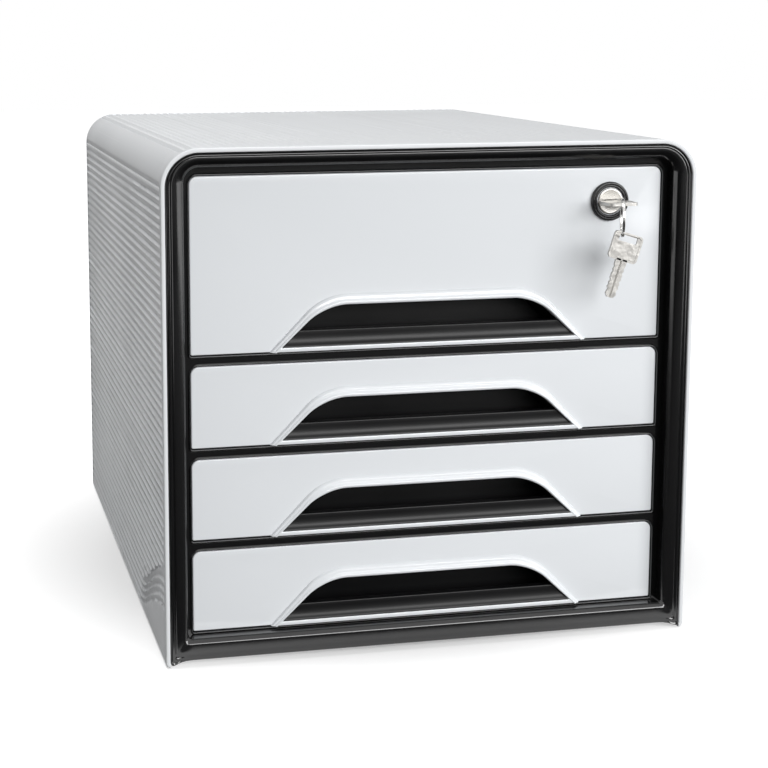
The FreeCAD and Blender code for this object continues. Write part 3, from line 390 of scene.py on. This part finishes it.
outer_loop = ring_outline(FRAME_X, FRAME_LOW, FRAME_TOP, FACE_Y, OUTER_FOOT, OUTER_CROWN)
inner_loop = ring_outline(BORDER_X, BORDER_LOW, BORDER_TOP, FACE_Y, INNER_FOOT, INNER_CROWN)
inner_points = {vert for edge in inner_loop for vert in edge.verts}
for vert in inner_points:
    vert[across] = 1.0
bmesh.ops.bridge_loops(surround, edges=outer_loop + inner_loop)
spokes = [edge for edge in surround.edges if sum(vert in inner_points for vert in edge.verts) == 1]
bmesh.ops.subdivide_edges(surround, edges=spokes, cuts=35, use_grid_fill=True)
for vert in surround.verts:
    share, x, z = vert[across], abs(vert.co.x), vert.co.z
    foot = smooth((BORDER_LOW + FOOT_ABOVE - z) / FOOT_BLEND) * smooth((FRAME_X - SIDE_EDGE - x) / SIDE_BLEND)
    edge = EDGE_DROP * left_before(share, EDGE_END) ** 2
    vert.co.y = FACE_Y + edge + side_profile(share) * (1 - foot) + foot_profile(share) * foot
    if z < BORDER_LOW:
        flare = smooth((x - FRAME_X + FLARE_WIDE) / FLARE_WIDE)
        vert.co.z -= FLARE_DROP * flare ** 2 * (1 - share) ** 2
step = extruded(surround, inner_loop, lambda spot: Vector((spot.x, spot.y + STEP, spot.z)))
step = extruded(surround, step, lambda spot: Vector((spot.x, PLATE_Y, spot.z)))
outer_rim = [edge for edge in surround.edges if len(edge.link_faces) == 1 and edge.verts[0].co.y < PLATE_Y - 5
             and all(vert[across] == 0 and vert not in inner_points for vert in edge.verts)]
skirt = extruded(surround, outer_rim, lambda spot: Vector((spot.x, PLATE_Y, spot.z)))
skirt = extruded(surround, skirt, lambda spot: Vector((spot.x, PLATE_Y + 0.3, max(spot.z, FRAME_LOW))))
skirt = extruded(surround, skirt, lambda spot: Vector((spot.x, FACE_Y + SKIRT, spot.z)))
hollow = ring_outline(FRAME_X - SKIRT_WALL, FRAME_LOW + SKIRT_WALL, FRAME_TOP - SKIRT_WALL, FACE_Y + SKIRT,
                      1.0, OUTER_CROWN - SKIRT_WALL)
bmesh.ops.bridge_loops(surround, edges=skirt + hollow)
extruded(surround, hollow, lambda spot: Vector((spot.x, PLATE_BACK, spot.z)))
for low, high in fronts:
    left, right = low.x - WINDOW_LAP, high.x + WINDOW_LAP
    bottom, top = low.z - WINDOW_LAP, high.z + WINDOW_LAP
    face = outline(surround, [(left, bottom), (right, bottom), (right, top), (left, top)], PLATE_Y,
                   [WINDOW_FOOT, WINDOW_FOOT, WINDOW_CROWN, WINDOW_CROWN], 10)
    for width, height in WINDOW_BEAD:
        bmesh.ops.inset_individual(surround, faces=[face], thickness=width, depth=height)
    window = open_outline(surround, face)
    extruded(surround, window, lambda spot: Vector((spot.x, PLATE_BACK, spot.z)))
for depth in (PLATE_Y, PLATE_BACK):
    hem = [edge for edge in surround.edges if len(edge.link_faces) == 1
           and all(abs(vert.co.y - depth) < 0.001 for vert in edge.verts)]
    bmesh.ops.triangle_fill(surround, edges=hem, use_beauty=True)
rail_front = PLATE_BACK - RAIL_OVERLAP
for place, (low, high) in enumerate(fronts):
    below = fronts[place + 1][1].z if place < 3 else FRAME_LOW + 1.4
    block(surround, (low.x - RAIL_GAP, rail_front, below + RAIL_GAP),
          (high.x + RAIL_GAP, PLATE_BACK + RAIL, low.z - RAIL_GAP))
low, high = fronts[0]
above = high.z + RAIL_GAP
block(surround, (low.x - RAIL_GAP, rail_front, above),
      (high.x + RAIL_GAP, PLATE_BACK + RAIL, above + RAIL_TOP))
block(surround, (LOCK_X - STRIKE_HALF, rail_front, above),
      (LOCK_X + STRIKE_HALF, frame_high.y, above + STRIKE_HIGH))
bmesh.ops.recalc_face_normals(surround, faces=surround.faces)

# Polystyrene again, moulded black against a polished tool: a deep mirror gloss with faint waviness.
frame_plastic, tree, shader = new_material("black_polystyrene_gloss", "#070708", Roughness=0.15, IOR=1.58,
                                           Specular_IOR_Level=0.7)
uneven(tree, shader, noise(tree, 30.0, 3.0), 0.12, 0.19)
raised(tree, shader, noise(tree, 180.0, 1.0), 0.05, 0.0002)
finished(surround, "frame_surround", "cabinet", frame_plastic, ["front_frame"])

# --- Drawer fronts ----------------------------------------------------------------------------
# White gloss polystyrene plate with a trapezoid cut-out. A stepped brim flares forward round the cut-out, a
# rounded white sill crosses its foot as a painted highlight on the grip lip's lower roll, and the top plate
# has a hole for the lock.

# Polystyrene moulded with a high gloss: bright and slightly cool, with a barely uneven skin.
front_plastic, tree, shader = new_material("white_polystyrene_gloss", "#E2E5E8", Roughness=0.16, IOR=1.57)
uneven(tree, shader, noise(tree, 22.0, 3.0), 0.05, 0.12)
raised(tree, shader, noise(tree, 140.0, 1.0), 0.04, 0.0002)

DRAWER_Y, PLATE, PLATE_ROUND, PLATE_FOOT, PLATE_CROWN = FACE_Y + 9.6, 2.5, 0.75, 1.0, 4.3
LOCK_HOLE = 8.1
BRIM_FOOT, BRIM_TOP, BRIM_HIGH, BRIM_RADIUS = 86.6, 58.35, 29.5, 12.5
MOUTH_FOOT, MOUTH_TOP, MOUTH_HIGH, MOUTH_RADIUS = 83.0, 57.5, 24.0, 12.0
# How far the brim stands forward, from the plate to the cut-out's edge: a rounded step and a higher roll.
BRIM_RISE = ((0, 0.0), (0.1, 0.7), (0.24, 1.35), (0.36, 1.5), (0.5, 1.62), (0.6, 2.0), (0.7, 2.4),
             (0.82, 2.5), (0.93, 2.3), (1, 1.7))
# The sill's section as (depth, height), from the plate's face and its foot. The white sill is a painted
# highlight where the black grip lip's lower roll would shine.
HIGHLIGHT_SILL = ((0.4, 0.05), (-1.6, 0.05), (-2.1, 0.4), (-2.3, 1.2), (-2.2, 2.0), (-1.8, 2.5), (-1.2, 2.65),
        (0.4, 2.65))


def thickened(bm, face, move):
    """Extrude a face into a solid, move its far side's points, and return its far face."""
    made = bmesh.ops.extrude_face_region(bm, geom=[face])["geom"]
    for vert in made:
        if isinstance(vert, bmesh.types.BMVert):
            vert.co = move(vert.co.copy())
    return next(item for item in made if isinstance(item, bmesh.types.BMFace))


def crossbar(bm, profile, base, grow):
    """Bar across the foot of a cut-out, from (depth, height) points, its ends along the sloping sides."""
    slope = (MOUTH_FOOT - MOUTH_TOP) / MOUTH_HIGH
    start = [bm.verts.new((-MOUTH_FOOT + z * slope - grow, DRAWER_Y + y, base + z)) for y, z in profile]
    thickened(bm, bm.faces.new(start), lambda spot: Vector((-spot.x, spot.y, spot.z)))


for place, (low, high) in enumerate(fronts, 1):
    half, base = high.x, low.z
    plate = bmesh.new()
    across = plate.verts.layers.float.new("across")
    face = outline(plate, [(-half, base), (-BRIM_FOOT, base), (-BRIM_TOP, base + BRIM_HIGH),
                           (BRIM_TOP, base + BRIM_HIGH), (BRIM_FOOT, base), (half, base), (half, high.z),
                           (-half, high.z)], DRAWER_Y,
                   [PLATE_FOOT, 0, BRIM_RADIUS, BRIM_RADIUS, 0, PLATE_FOOT, PLATE_CROWN, PLATE_CROWN], 12)
    brim = [edge for edge in face.edges if max(abs(vert.co.x) for vert in edge.verts) < BRIM_FOOT + CLOSE
            and max(vert.co.z for vert in edge.verts) < base + BRIM_HIGH + CLOSE]
    rim = [edge for edge in face.edges if edge not in brim]
    opening = outline(plate, [(-MOUTH_FOOT, base), (MOUTH_FOOT, base), (MOUTH_TOP, base + MOUTH_HIGH),
                              (-MOUTH_TOP, base + MOUTH_HIGH)],
                      DRAWER_Y, [0, 0, MOUTH_RADIUS, MOUTH_RADIUS], 12)
    mouth = open_outline(plate, opening)
    foot = min(mouth, key=lambda edge: sum(vert.co.z for vert in edge.verts))
    mouth.remove(foot)
    bmesh.ops.delete(plate, geom=[foot], context="EDGES")
    inner = {vert for edge in mouth for vert in edge.verts}
    for vert in inner:
        vert[across] = 1.0
    bmesh.ops.bridge_loops(plate, edges=brim + mouth)
    spokes = [edge for edge in plate.edges if sum(vert in inner for vert in edge.verts) == 1]
    bmesh.ops.subdivide_edges(plate, edges=spokes, cuts=15, use_grid_fill=True)
    for vert in plate.verts:
        vert.co.y = DRAWER_Y - between(BRIM_RISE, vert[across])
    open_edges = [edge for edge in plate.edges if len(edge.link_faces) == 1]
    back = extruded(plate, open_edges, lambda spot: Vector((spot.x, DRAWER_Y + PLATE, spot.z)))
    bmesh.ops.triangle_fill(plate, edges=back, use_beauty=True)
    bmesh.ops.recalc_face_normals(plate, faces=plate.faces)
    bmesh.ops.bevel(plate, geom=rim, offset=PLATE_ROUND, offset_type="OFFSET", segments=4, profile=0.5,
                    affect="EDGES", material=-1)
    if place == 1:
        hole = bmesh.new()
        through = Matrix.Translation((LOCK_X, DRAWER_Y, LOCK_Z)) @ Matrix.Rotation(math.pi / 2, 4, "X")
        bmesh.ops.create_cone(hole, cap_ends=True, segments=64, radius1=LOCK_HOLE, radius2=LOCK_HOLE,
                              depth=20, matrix=through)
        plate = cut_away(plate, hole)
    # Painted highlight: a white sill across the cut-out's foot, in place of the shine on the black lip's
    # lower roll.
    crossbar(plate, HIGHLIGHT_SILL, base, 0.3)
    bmesh.ops.recalc_face_normals(plate, faces=plate.faces)
    finished(plate, f"drawer_plate_{place}", f"drawer_{place}", front_plastic,
             [f"drawer_front_{place}"])

# --- Trays and grip lips ----------------------------------------------------------------------
# Black polystyrene drawer trays with a finger pocket behind each cut-out. A scooped lip stands up across
# the pocket's mouth, and the fingers pull on its back.

# Moulded black with a fine spark grain: a soft sheen that scatters instead of mirroring.
tray_plastic, tree, shader = new_material("black_polystyrene_satin", "#0B0B0C", Roughness=0.32, IOR=1.57,
                                          Specular_IOR_Level=0.2)
raised(tree, shader, noise(tree, 1400.0, 2.0), 0.15, 0.0001)
uneven(tree, shader, noise(tree, 18.0, 3.0), 0.26, 0.4)

# The lip's section as (depth, height), scooped at the front and rounded on top.
LIP = ((0.45, 2.4), (-2.0, 2.4), (-1.9, 2.9), (-1.35, 3.6), (-0.85, 4.6), (-0.5, 5.8), (-0.32, 7.2),
       (-0.28, 8.6), (-0.28, 10.3), (-0.12, 10.75), (0.2, 10.95), (0.45, 10.98))
for place, (low, high) in enumerate(fronts, 1):
    lip = bmesh.new()
    crossbar(lip, LIP, low.z, -0.4)
    bmesh.ops.recalc_face_normals(lip, faces=lip.faces)
    finished(lip, f"drawer_lip_{place}", f"drawer_{place}", tray_plastic, sharp=48)
    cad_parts[f"drawer_tray_{place}"].material_slots[0].material = tray_plastic

# --- Runner panels, back and base -------------------------------------------------------------
# Black panels inside the cover, moulded from high-impact polystyrene, with a ledge under each tray. The
# back and the base are flat plates of the same plastic.

# Duller than the trays and a little greyer: a coarse sprayed grain with no gloss.
inner_plastic, tree, shader = new_material("black_polystyrene_matt", "#161617", Roughness=0.5, IOR=1.57)
raised(tree, shader, noise(tree, 900.0, 3.0), 0.25, 0.0002)
uneven(tree, shader, noise(tree, 25.0, 3.0), 0.42, 0.6)
for name in ("left_runner_panel", "right_runner_panel", "back_panel", "base_plate"):
    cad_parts[name].material_slots[0].material = inner_plastic

# --- Feet -------------------------------------------------------------------------------------
# Round feet of moulded synthetic rubber, pressed through the base plate.

# Rubber: charcoal with a dusty bloom, so it is paler in patches and hardly shines.
foot_rubber, tree, shader = new_material("black_moulded_rubber", "#1D1D1E", Roughness=0.75, IOR=1.52)
bloom = add(tree, "ShaderNodeMix", {"Factor": noise(tree, 120.0, 5.0), "A": linear("#161617"),
                                    "B": linear("#2A2A2B")}, data_type="RGBA")
tree.links.new(bloom.outputs["Result"], shader.inputs["Base Color"])
for name in ("foot_front_left", "foot_front_right", "foot_back_left", "foot_back_right"):
    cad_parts[name].material_slots[0].material = foot_rubber

# --- Screws -----------------------------------------------------------------------------------
# Zinc-plated pan head screws, driven through the base and the back into the runner panels.

# Zinc plate on steel: pale blue-grey metal, brighter and duller in small crystalline patches.
screw_steel, tree, shader = new_material("zinc_plated_steel", "#C3C6CB", Metallic=1.0, Roughness=0.32)
coords = add(tree, "ShaderNodeTexCoord")
crystals = add(tree, "ShaderNodeTexVoronoi", {"Vector": coords.outputs["Object"], "Scale": 900.0})
uneven(tree, shader, crystals.outputs["Distance"], 0.24, 0.44)
# Head and shank as (radius, distance from the head's top).
SCREW_HEAD = ((0, 0), (0.9, 0), (1.9, 0.12), (2.6, 0.45), (2.95, 0.95), (3.0, 1.6), (1.45, 1.6), (1.45, 5.6),
              (0, 6.2))
RECESS = (3.2, 0.75, 2.0)
SCREW_X, BASE_STEP, BASE_HEAD_Z = 125, 120, 1.4
BACK_HEAD_Y, BACK_SCREWS_Z = BACK_Y - 0.4, (65.4, 202.13)


def spun(bm, profile, centre, axis, steps=48):
    """Turn (radius, distance) points round an axis through a centre, along which the distance runs."""
    axis = Vector(axis)
    side = axis.orthogonal().normalized()
    spots = [bm.verts.new(Vector(centre) + side * radius + axis * along) for radius, along in profile]
    edges = [bm.edges.new(pair) for pair in zip(spots, spots[1:])]
    bmesh.ops.spin(bm, geom=spots + edges, cent=centre, axis=axis, dvec=(0, 0, 0), angle=2 * math.pi,
                   steps=steps, use_merge=True, use_normal_flip=False, use_duplicate=False)
    bmesh.ops.remove_doubles(bm, verts=bm.verts, dist=0.0005)


def screw(bm, centre, axis):
    """Screw with a cross recess, its head's top at a centre and its shank along an axis."""
    new = bmesh.new()
    spun(new, SCREW_HEAD, centre, axis, 32)
    bmesh.ops.recalc_face_normals(new, faces=new.faces)
    side = Vector(axis).orthogonal().normalized()
    for way in (side, Vector(axis).cross(side)):
        turn = Matrix((way, Vector(axis).cross(way), Vector(axis))).transposed().to_4x4()
        cross = bmesh.new()
        bmesh.ops.create_cube(cross, size=1, matrix=Matrix.Translation(Vector(centre)) @ turn
                              @ Matrix.Diagonal((*RECESS, 1)))
        new = cut_away(new, cross)
    mesh = bpy.data.meshes.new("screw")
    new.to_mesh(mesh)
    new.free()
    bm.from_mesh(mesh)
    bpy.data.meshes.remove(mesh)


screws = bmesh.new()
middle = (RIM_Y + BACK_Y) / 2
for x in (-SCREW_X, SCREW_X):
    for y in (middle - BASE_STEP, middle, middle + BASE_STEP):
        screw(screws, (x, y, BASE_HEAD_Z), (0, 0, 1))
finished(screws, "base_pan_screws", "cabinet", screw_steel, ["base_screws"])
screws = bmesh.new()
for x in (-SCREW_X, SCREW_X):
    for z in BACK_SCREWS_Z:
        screw(screws, (x, BACK_HEAD_Y, z), (0, -1, 0))
finished(screws, "back_pan_screws", "cabinet", screw_steel, ["back_screws"])

# --- Lock -------------------------------------------------------------------------------------
# Wafer lock: a black moulded ring caps the zinc barrel, and the plug turns in it behind a dished face with
# its keyway. The cam is screwed to the plug's square tail.

# Nylon ring: black, between satin and gloss.
bezel_plastic, tree, shader = new_material("black_nylon", "#101011", Roughness=0.25, IOR=1.53)
uneven(tree, shader, noise(tree, 300.0, 3.0), 0.2, 0.34)
# Ring and plug as (radius, distance along the lock's axis).
BEZEL = ((7.1, 0), (10.4, 0), (10.4, 1.5), (10.2, 1.85), (9.85, 2.1), (9.4, 2.2), (9.1, 2.1), (8.9, 1.85),
         (8.7, 2.05), (8.4, 2.2), (7.9, 2.1), (7.5, 1.7), (7.1, 0.9), (7.1, 0))
bezel = bmesh.new()
spun(bezel, BEZEL, (LOCK_X, DRAWER_Y, LOCK_Z), (0, -1, 0), 96)
bmesh.ops.recalc_face_normals(bezel, faces=bezel.faces)
finished(bezel, "lock_ring", "drawer_1", bezel_plastic, ["lock_bezel"], sharp=40)

# Die-cast zinc: dull grey metal with a grainy cast skin.
lock_metal, tree, shader = new_material("die_cast_zinc", "#A9ABAE", Metallic=1.0, Roughness=0.4)
grain = noise(tree, 700.0, 4.0)
raised(tree, shader, grain, 0.3, 0.0002)
uneven(tree, shader, grain, 0.32, 0.5)
for name in ("lock_barrel", "lock_nut", "lock_cam"):
    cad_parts[name].material_slots[0].material = lock_metal
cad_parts["cam_screw"].material_slots[0].material = screw_steel

# Nickel plate on the plug's turned face: half bright, with faint rings left by the tool.
plug_metal, tree, shader = new_material("turned_nickel_plate", "#A9A7A3", Metallic=1.0, Roughness=0.3)
coords = add(tree, "ShaderNodeTexCoord")
centred = add(tree, "ShaderNodeMapping", {"Vector": coords.outputs["Object"],
                                          "Location": (-LOCK_X / 1000, 0.0, -LOCK_Z / 1000)})
rings = add(tree, "ShaderNodeTexWave", {"Vector": centred.outputs["Vector"], "Scale": 330.0,
                                        "Distortion": 0.3}, wave_type="RINGS", rings_direction="Y")
raised(tree, shader, rings.outputs["Fac"], 0.12, 0.0001)
uneven(tree, shader, rings.outputs["Fac"], 0.24, 0.38)
PLUG_Y = DRAWER_Y - 2.0
TAIL_HALF, TAIL_START, TAIL_END = 3, 20.9, 23
# Corners of the slot for the blade and of the shallow one for the key's end, from the middle of the face.
KEYWAYS = (((-3.5, -1, -1.1), (3.5, 18.4, 1.1)), ((-6.95, -1, -0.85), (3.6, 0.95, 0.85)))
PLUG = ((0, 0.32), (3.0, 0.29), (4.8, 0.2), (5.9, 0.05), (6.3, 0.0), (6.7, 0.12), (6.9, 0.4), (6.9, 1.6),
        (5.7, 1.6), (5.7, 21.0), (0, 21.0))
plug = bmesh.new()
spun(plug, PLUG, (LOCK_X, PLUG_Y, LOCK_Z), (0, 1, 0), 96)
face_centre = Vector((LOCK_X, PLUG_Y, LOCK_Z))
block(plug, face_centre + Vector((-TAIL_HALF, TAIL_START, -TAIL_HALF)),
      face_centre + Vector((TAIL_HALF, TAIL_END, TAIL_HALF)))
bmesh.ops.recalc_face_normals(plug, faces=plug.faces)
for low, high in KEYWAYS:
    tool = bmesh.new()
    block(tool, face_centre + Vector(low), face_centre + Vector(high))
    plug = cut_away(plug, tool)
finished(plug, "lock_core", "lock_plug", plug_metal, ["lock_plug"])

# Brass wafers: warm yellow, stamped and slightly dull.
wafer_brass, tree, shader = new_material("stamped_brass", "#C9A557", Metallic=1.0, Roughness=0.35)
uneven(tree, shader, noise(tree, 500.0, 3.0), 0.25, 0.48)
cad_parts["lock_wafers"].material_slots[0].material = wafer_brass

# --- Keys and ring ----------------------------------------------------------------------------
# Two flat keys stamped from nickel-plated brass, with a raised rim round the bow. One sits in the lock and
# a split ring of spring wire carries the other.

# Nickel plate over a stamping: warm grey, with fine scratches and shallow dents.
key_metal, tree, shader = new_material("stamped_nickel_plate", "#BEBCB8", Metallic=1.0, Roughness=0.32)
coords = add(tree, "ShaderNodeTexCoord")
stretched = add(tree, "ShaderNodeMapping", {"Vector": coords.outputs["Object"], "Scale": (1.0, 0.15, 0.15)})
scratches = add(tree, "ShaderNodeTexNoise", {"Vector": stretched.outputs["Vector"], "Scale": 2500.0,
                                             "Detail": 3.0})
scratched = add(tree, "ShaderNodeBump", {"Height": scratches.outputs["Fac"], "Strength": 0.15,
                                         "Distance": 0.0001})
dented = add(tree, "ShaderNodeBump", {"Height": noise(tree, 260.0, 1.0), "Strength": 0.3,
                                      "Distance": 0.0008, "Normal": scratched.outputs["Normal"]})
tree.links.new(dented.outputs["Normal"], shader.inputs["Normal"])
uneven(tree, shader, scratches.outputs["Fac"], 0.3, 0.45)
BOW_HALF, BOW_LONG, BOW_CORNER, BLADE_HALF, KEY_HALF = 8.2, 14.8, 2.2, 3.1, 0.8
TIP, BIT_START, BIT_STEP, BITS = -20.0, -17.0, 2.4, (0.7, 0.45, 0.7, 0.3, 0.6, 0.45)
SLOT_HALF, SLOT_LOW, SLOT_HIGH, SLOT_CORNER = 5.2, 10.0, 13.4, 0.5
GROOVE_SIDE, GROOVE_OUT = 0.5, 0.95


def flat_key():
    """Key upright across the front, its blade down from the origin and its bow up."""
    blade = [(1.5, TIP), (BLADE_HALF - 0.2, TIP + 1.8)]
    for bit, depth in enumerate(BITS):
        foot = BIT_START + BIT_STEP * bit
        cut = BLADE_HALF - depth
        blade += [(cut, foot + 0.9), (cut, foot + 1.3), (BLADE_HALF, foot + 2.3)]
    blade += [(BLADE_HALF, 1.0)]
    made = bmesh.new()
    face = outline(made, [*blade, *[(-x, z) for x, z in reversed(blade)]], -KEY_HALF, [0] * 2 * len(blade))
    bmesh.ops.recalc_face_normals(made, faces=made.faces)
    thickened(made, face, lambda spot: Vector((spot.x, KEY_HALF, spot.z)))
    bmesh.ops.recalc_face_normals(made, faces=made.faces)
    for side in (-1, 1):
        tool = bmesh.new()
        block(tool, (-GROOVE_SIDE, -GROOVE_SIDE, TIP - 1), (GROOVE_SIDE, GROOVE_SIDE, 0.9))
        turned = Matrix.Translation((0, side * GROOVE_OUT, 0)) @ Matrix.Rotation(math.pi / 4, 4, "Z")
        bmesh.ops.transform(tool, matrix=turned, verts=tool.verts)
        made = cut_away(made, tool)
    bow = outline(made, [(-BOW_HALF, 0), (BOW_HALF, 0), (BOW_HALF, BOW_LONG), (-BOW_HALF, BOW_LONG)],
                  -KEY_HALF, [BOW_CORNER] * 4, 8)
    top = thickened(made, bow, lambda spot: Vector((spot.x, KEY_HALF, spot.z)))
    made.normal_update()
    bmesh.ops.recalc_face_normals(made, faces=made.faces)
    for face in (bow, top):
        for width, height in ((0.2, 0), (0.75, 0), (0.25, -0.25)):
            bmesh.ops.inset_individual(made, faces=[face], thickness=width, depth=height)
    tool = bmesh.new()
    slot = outline(tool, [(-SLOT_HALF, SLOT_LOW), (SLOT_HALF, SLOT_LOW), (SLOT_HALF, SLOT_HIGH),
                          (-SLOT_HALF, SLOT_HIGH)], -3, [SLOT_CORNER] * 4, 4)
    thickened(tool, slot, lambda spot: Vector((spot.x, 3, spot.z)))
    bmesh.ops.recalc_face_normals(tool, faces=tool.faces)
    return cut_away(made, tool)


fitted = flat_key()
BOW_GAP = 4.6
inserted = Matrix.Translation((LOCK_X, DRAWER_Y - BOW_GAP, LOCK_Z)) @ Matrix.Rotation(math.pi / 2, 4, "X")
bmesh.ops.transform(fitted, matrix=inserted, verts=fitted.verts)
finished(fitted, "lock_key", "key", key_metal, ["key"])

# The ring hangs in the fitted key's slot, and the spare key on the ring's foot, near the end of its slot.
RING = Vector((LOCK_X, DRAWER_Y, LOCK_Z)) + Vector((-2.4441, -23.3983, -6.2993))
RING_RADIUS, RING_TURN = 9.8, math.radians(19)
HOOK, LEAN = Vector((-3.6, 0, 12.3)), math.radians(17.9)
spare = flat_key()
hanging = Matrix.Rotation(LEAN, 4, "Y")
spot = RING - Vector((0, 0, RING_RADIUS)) - hanging @ HOOK
bmesh.ops.transform(spare, matrix=Matrix.Translation(spot) @ hanging, verts=spare.verts)
finished(spare, "hanging_key", "spare_key", key_metal, ["spare_key"])

# Spring steel wire, nickel plated: mirror bright.
ring_metal, tree, shader = new_material("nickel_plated_spring_wire", "#D8D7D5", Metallic=1.0, Roughness=0.15)
uneven(tree, shader, noise(tree, 800.0, 2.0), 0.1, 0.25)
axis = Vector((math.cos(RING_TURN), -math.sin(RING_TURN), 0))
ring = bmesh.new()
WIRE_RADIUS, WINDINGS, RING_STEPS, TRAVEL = 0.5, 2, 144, 1.1
start = Matrix.Translation(RING + Vector((0, 0, RING_RADIUS)) - axis * TRAVEL / 2)
facing = Vector((0, 0, 1)).cross(axis).to_track_quat("Z", "Y").to_matrix().to_4x4()
wire = bmesh.ops.create_circle(ring, cap_ends=False, segments=12, radius=WIRE_RADIUS,
                               matrix=start @ facing)["verts"]
edges = list({edge for vert in wire for edge in vert.link_edges})
bmesh.ops.spin(ring, geom=wire + edges, cent=RING, axis=axis, dvec=axis * TRAVEL / RING_STEPS,
               angle=2 * math.pi * WINDINGS, steps=RING_STEPS, use_merge=False, use_normal_flip=False,
               use_duplicate=False)
bmesh.ops.holes_fill(ring, edges=[edge for edge in ring.edges if len(edge.link_faces) == 1], sides=0)
bmesh.ops.recalc_face_normals(ring, faces=ring.faces)
finished(ring, "split_ring", "key_ring", ring_metal, ["key_ring"], sharp=60)

# --- Studio -----------------------------------------------------------------------------------
# Pale floor and surround, a large soft lamp in front on the right, and a small one above on the left that
# grazes the ribs. The floor's glow fades near the object: painted shade round its foot.

FLOOR_HALF = 6


def seen_rays(tree):
    """Light path of a ray, and whether it comes from the camera or from a glossy surface."""
    rays = add(tree, "ShaderNodeLightPath")
    seen = add(tree, "ShaderNodeMath", {0: rays.outputs["Is Camera Ray"], 1: rays.outputs["Is Glossy Ray"]},
               operation="MAXIMUM")
    return rays, seen


floor_mesh = bmesh.new()
bmesh.ops.create_grid(floor_mesh, x_segments=1, y_segments=1, size=FLOOR_HALF)
floor = mesh_object(floor_mesh, "studio_floor")
floor_paint, tree, shader = new_material("studio_floor_paint", "#CCCCCC", Roughness=0.9)
floor.data.materials.append(floor_paint)
coords = add(tree, "ShaderNodeTexCoord")
reach = add(tree, "ShaderNodeVectorMath", {0: coords.outputs["Object"]}, operation="LENGTH")
# Painted shade: the floor's glow is weakest near the object and rises to full away from it, so the floor
# darkens round its foot.
floor_glow_and_painted_shade = add(tree, "ShaderNodeMapRange", {"Value": reach.outputs["Value"], "From Min": 0.15, "From Max": 0.32,
                                        "To Min": 0.25, "To Max": 0.9})
rays, seen = seen_rays(tree)
shown = add(tree, "ShaderNodeMath", {0: seen.outputs["Value"], 1: floor_glow_and_painted_shade.outputs["Result"]},
            operation="MULTIPLY")
tree.links.new(shown.outputs["Value"], shader.inputs["Emission Strength"])
bounce = add(tree, "ShaderNodeMapRange", {"Value": seen.outputs["Value"], "To Min": 0.14, "To Max": 0.8})
tree.links.new(bounce.outputs["Result"], shader.inputs["Base Color"])
shader.inputs["Emission Color"].default_value = linear("#FFFFFF")

world = bpy.data.worlds.new("studio")
bpy.context.scene.world = world
world.use_nodes = True
tree = world.node_tree
air = tree.nodes["Background"]
rays, seen = seen_rays(tree)
seen = add(tree, "ShaderNodeMath", {0: seen.outputs["Value"], 1: rays.outputs["Is Transmission Ray"]},
           operation="MAXIMUM")
level = add(tree, "ShaderNodeMapRange", {"Value": seen.outputs["Value"], "To Min": 0.15, "To Max": 1.0})
tree.links.new(level.outputs["Result"], air.inputs["Strength"])
air.inputs["Color"].default_value = (1, 1, 1, 1)

# A black card lies in front of the object, seen only in reflections: painted dark reflections that give the
# gloss its depth.
CARD_HALF = 0.9
card_mesh = bmesh.new()
edges = [card_mesh.edges.new([card_mesh.verts.new((x, -0.19, 0.002)) for x in (-CARD_HALF, CARD_HALF)])]
for y, z in ((-1.35, 0.003), (-1.42, 0.05), (-1.45, 0.42)):
    edges = extruded(card_mesh, edges, lambda spot: Vector((spot.x, y, z)))
card = mesh_object(card_mesh, "studio_card")
card.visible_camera = card.visible_diffuse = card.visible_shadow = False
card_paint, tree, shader = new_material("studio_card_paint", "#0C0C0C", Roughness=1.0)
card.data.materials.append(card_paint)


def lamp(name, place, aim, size, watts):
    """Soft box that faces a point."""
    data = bpy.data.lights.new(name, "AREA")
    data.shape = "RECTANGLE"
    data.size, data.size_y = size
    data.energy = watts
    made = bpy.data.objects.new(name, data)
    made.location = place
    made.rotation_mode = "QUATERNION"
    made.rotation_quaternion = (Vector(aim) - Vector(place)).to_track_quat("-Z", "Y")
    bpy.context.scene.collection.objects.link(made)


lamp("front_softbox", (0.95, -1.95, 0.8), (0, -0.15, 0.14), (2.4, 1.1), 57)
lamp("overhead_softbox", (-0.42, -0.1, 1.45), (-0.05, -0.05, 0.2), (0.35, 0.35), 9.6)

CAMERA_PLACE, CAMERA_DEGREES = (-0.26206, -0.98456, 0.32746), (81.82496, 0.26772, -11.70828)
camera_data = bpy.data.cameras.new("camera")
camera_data.lens = 77.962
camera_data.shift_x, camera_data.shift_y = 0.16145, -0.14844
camera_data.sensor_width = 36.0
camera = bpy.data.objects.new("camera", camera_data)
turn = Euler([math.radians(angle) for angle in CAMERA_DEGREES]).to_matrix().to_4x4()
camera.matrix_world = Matrix.Translation(CAMERA_PLACE) @ turn
bpy.context.scene.collection.objects.link(camera)
bpy.context.scene.camera = camera
bpy.context.scene.view_settings.view_transform = "Standard"
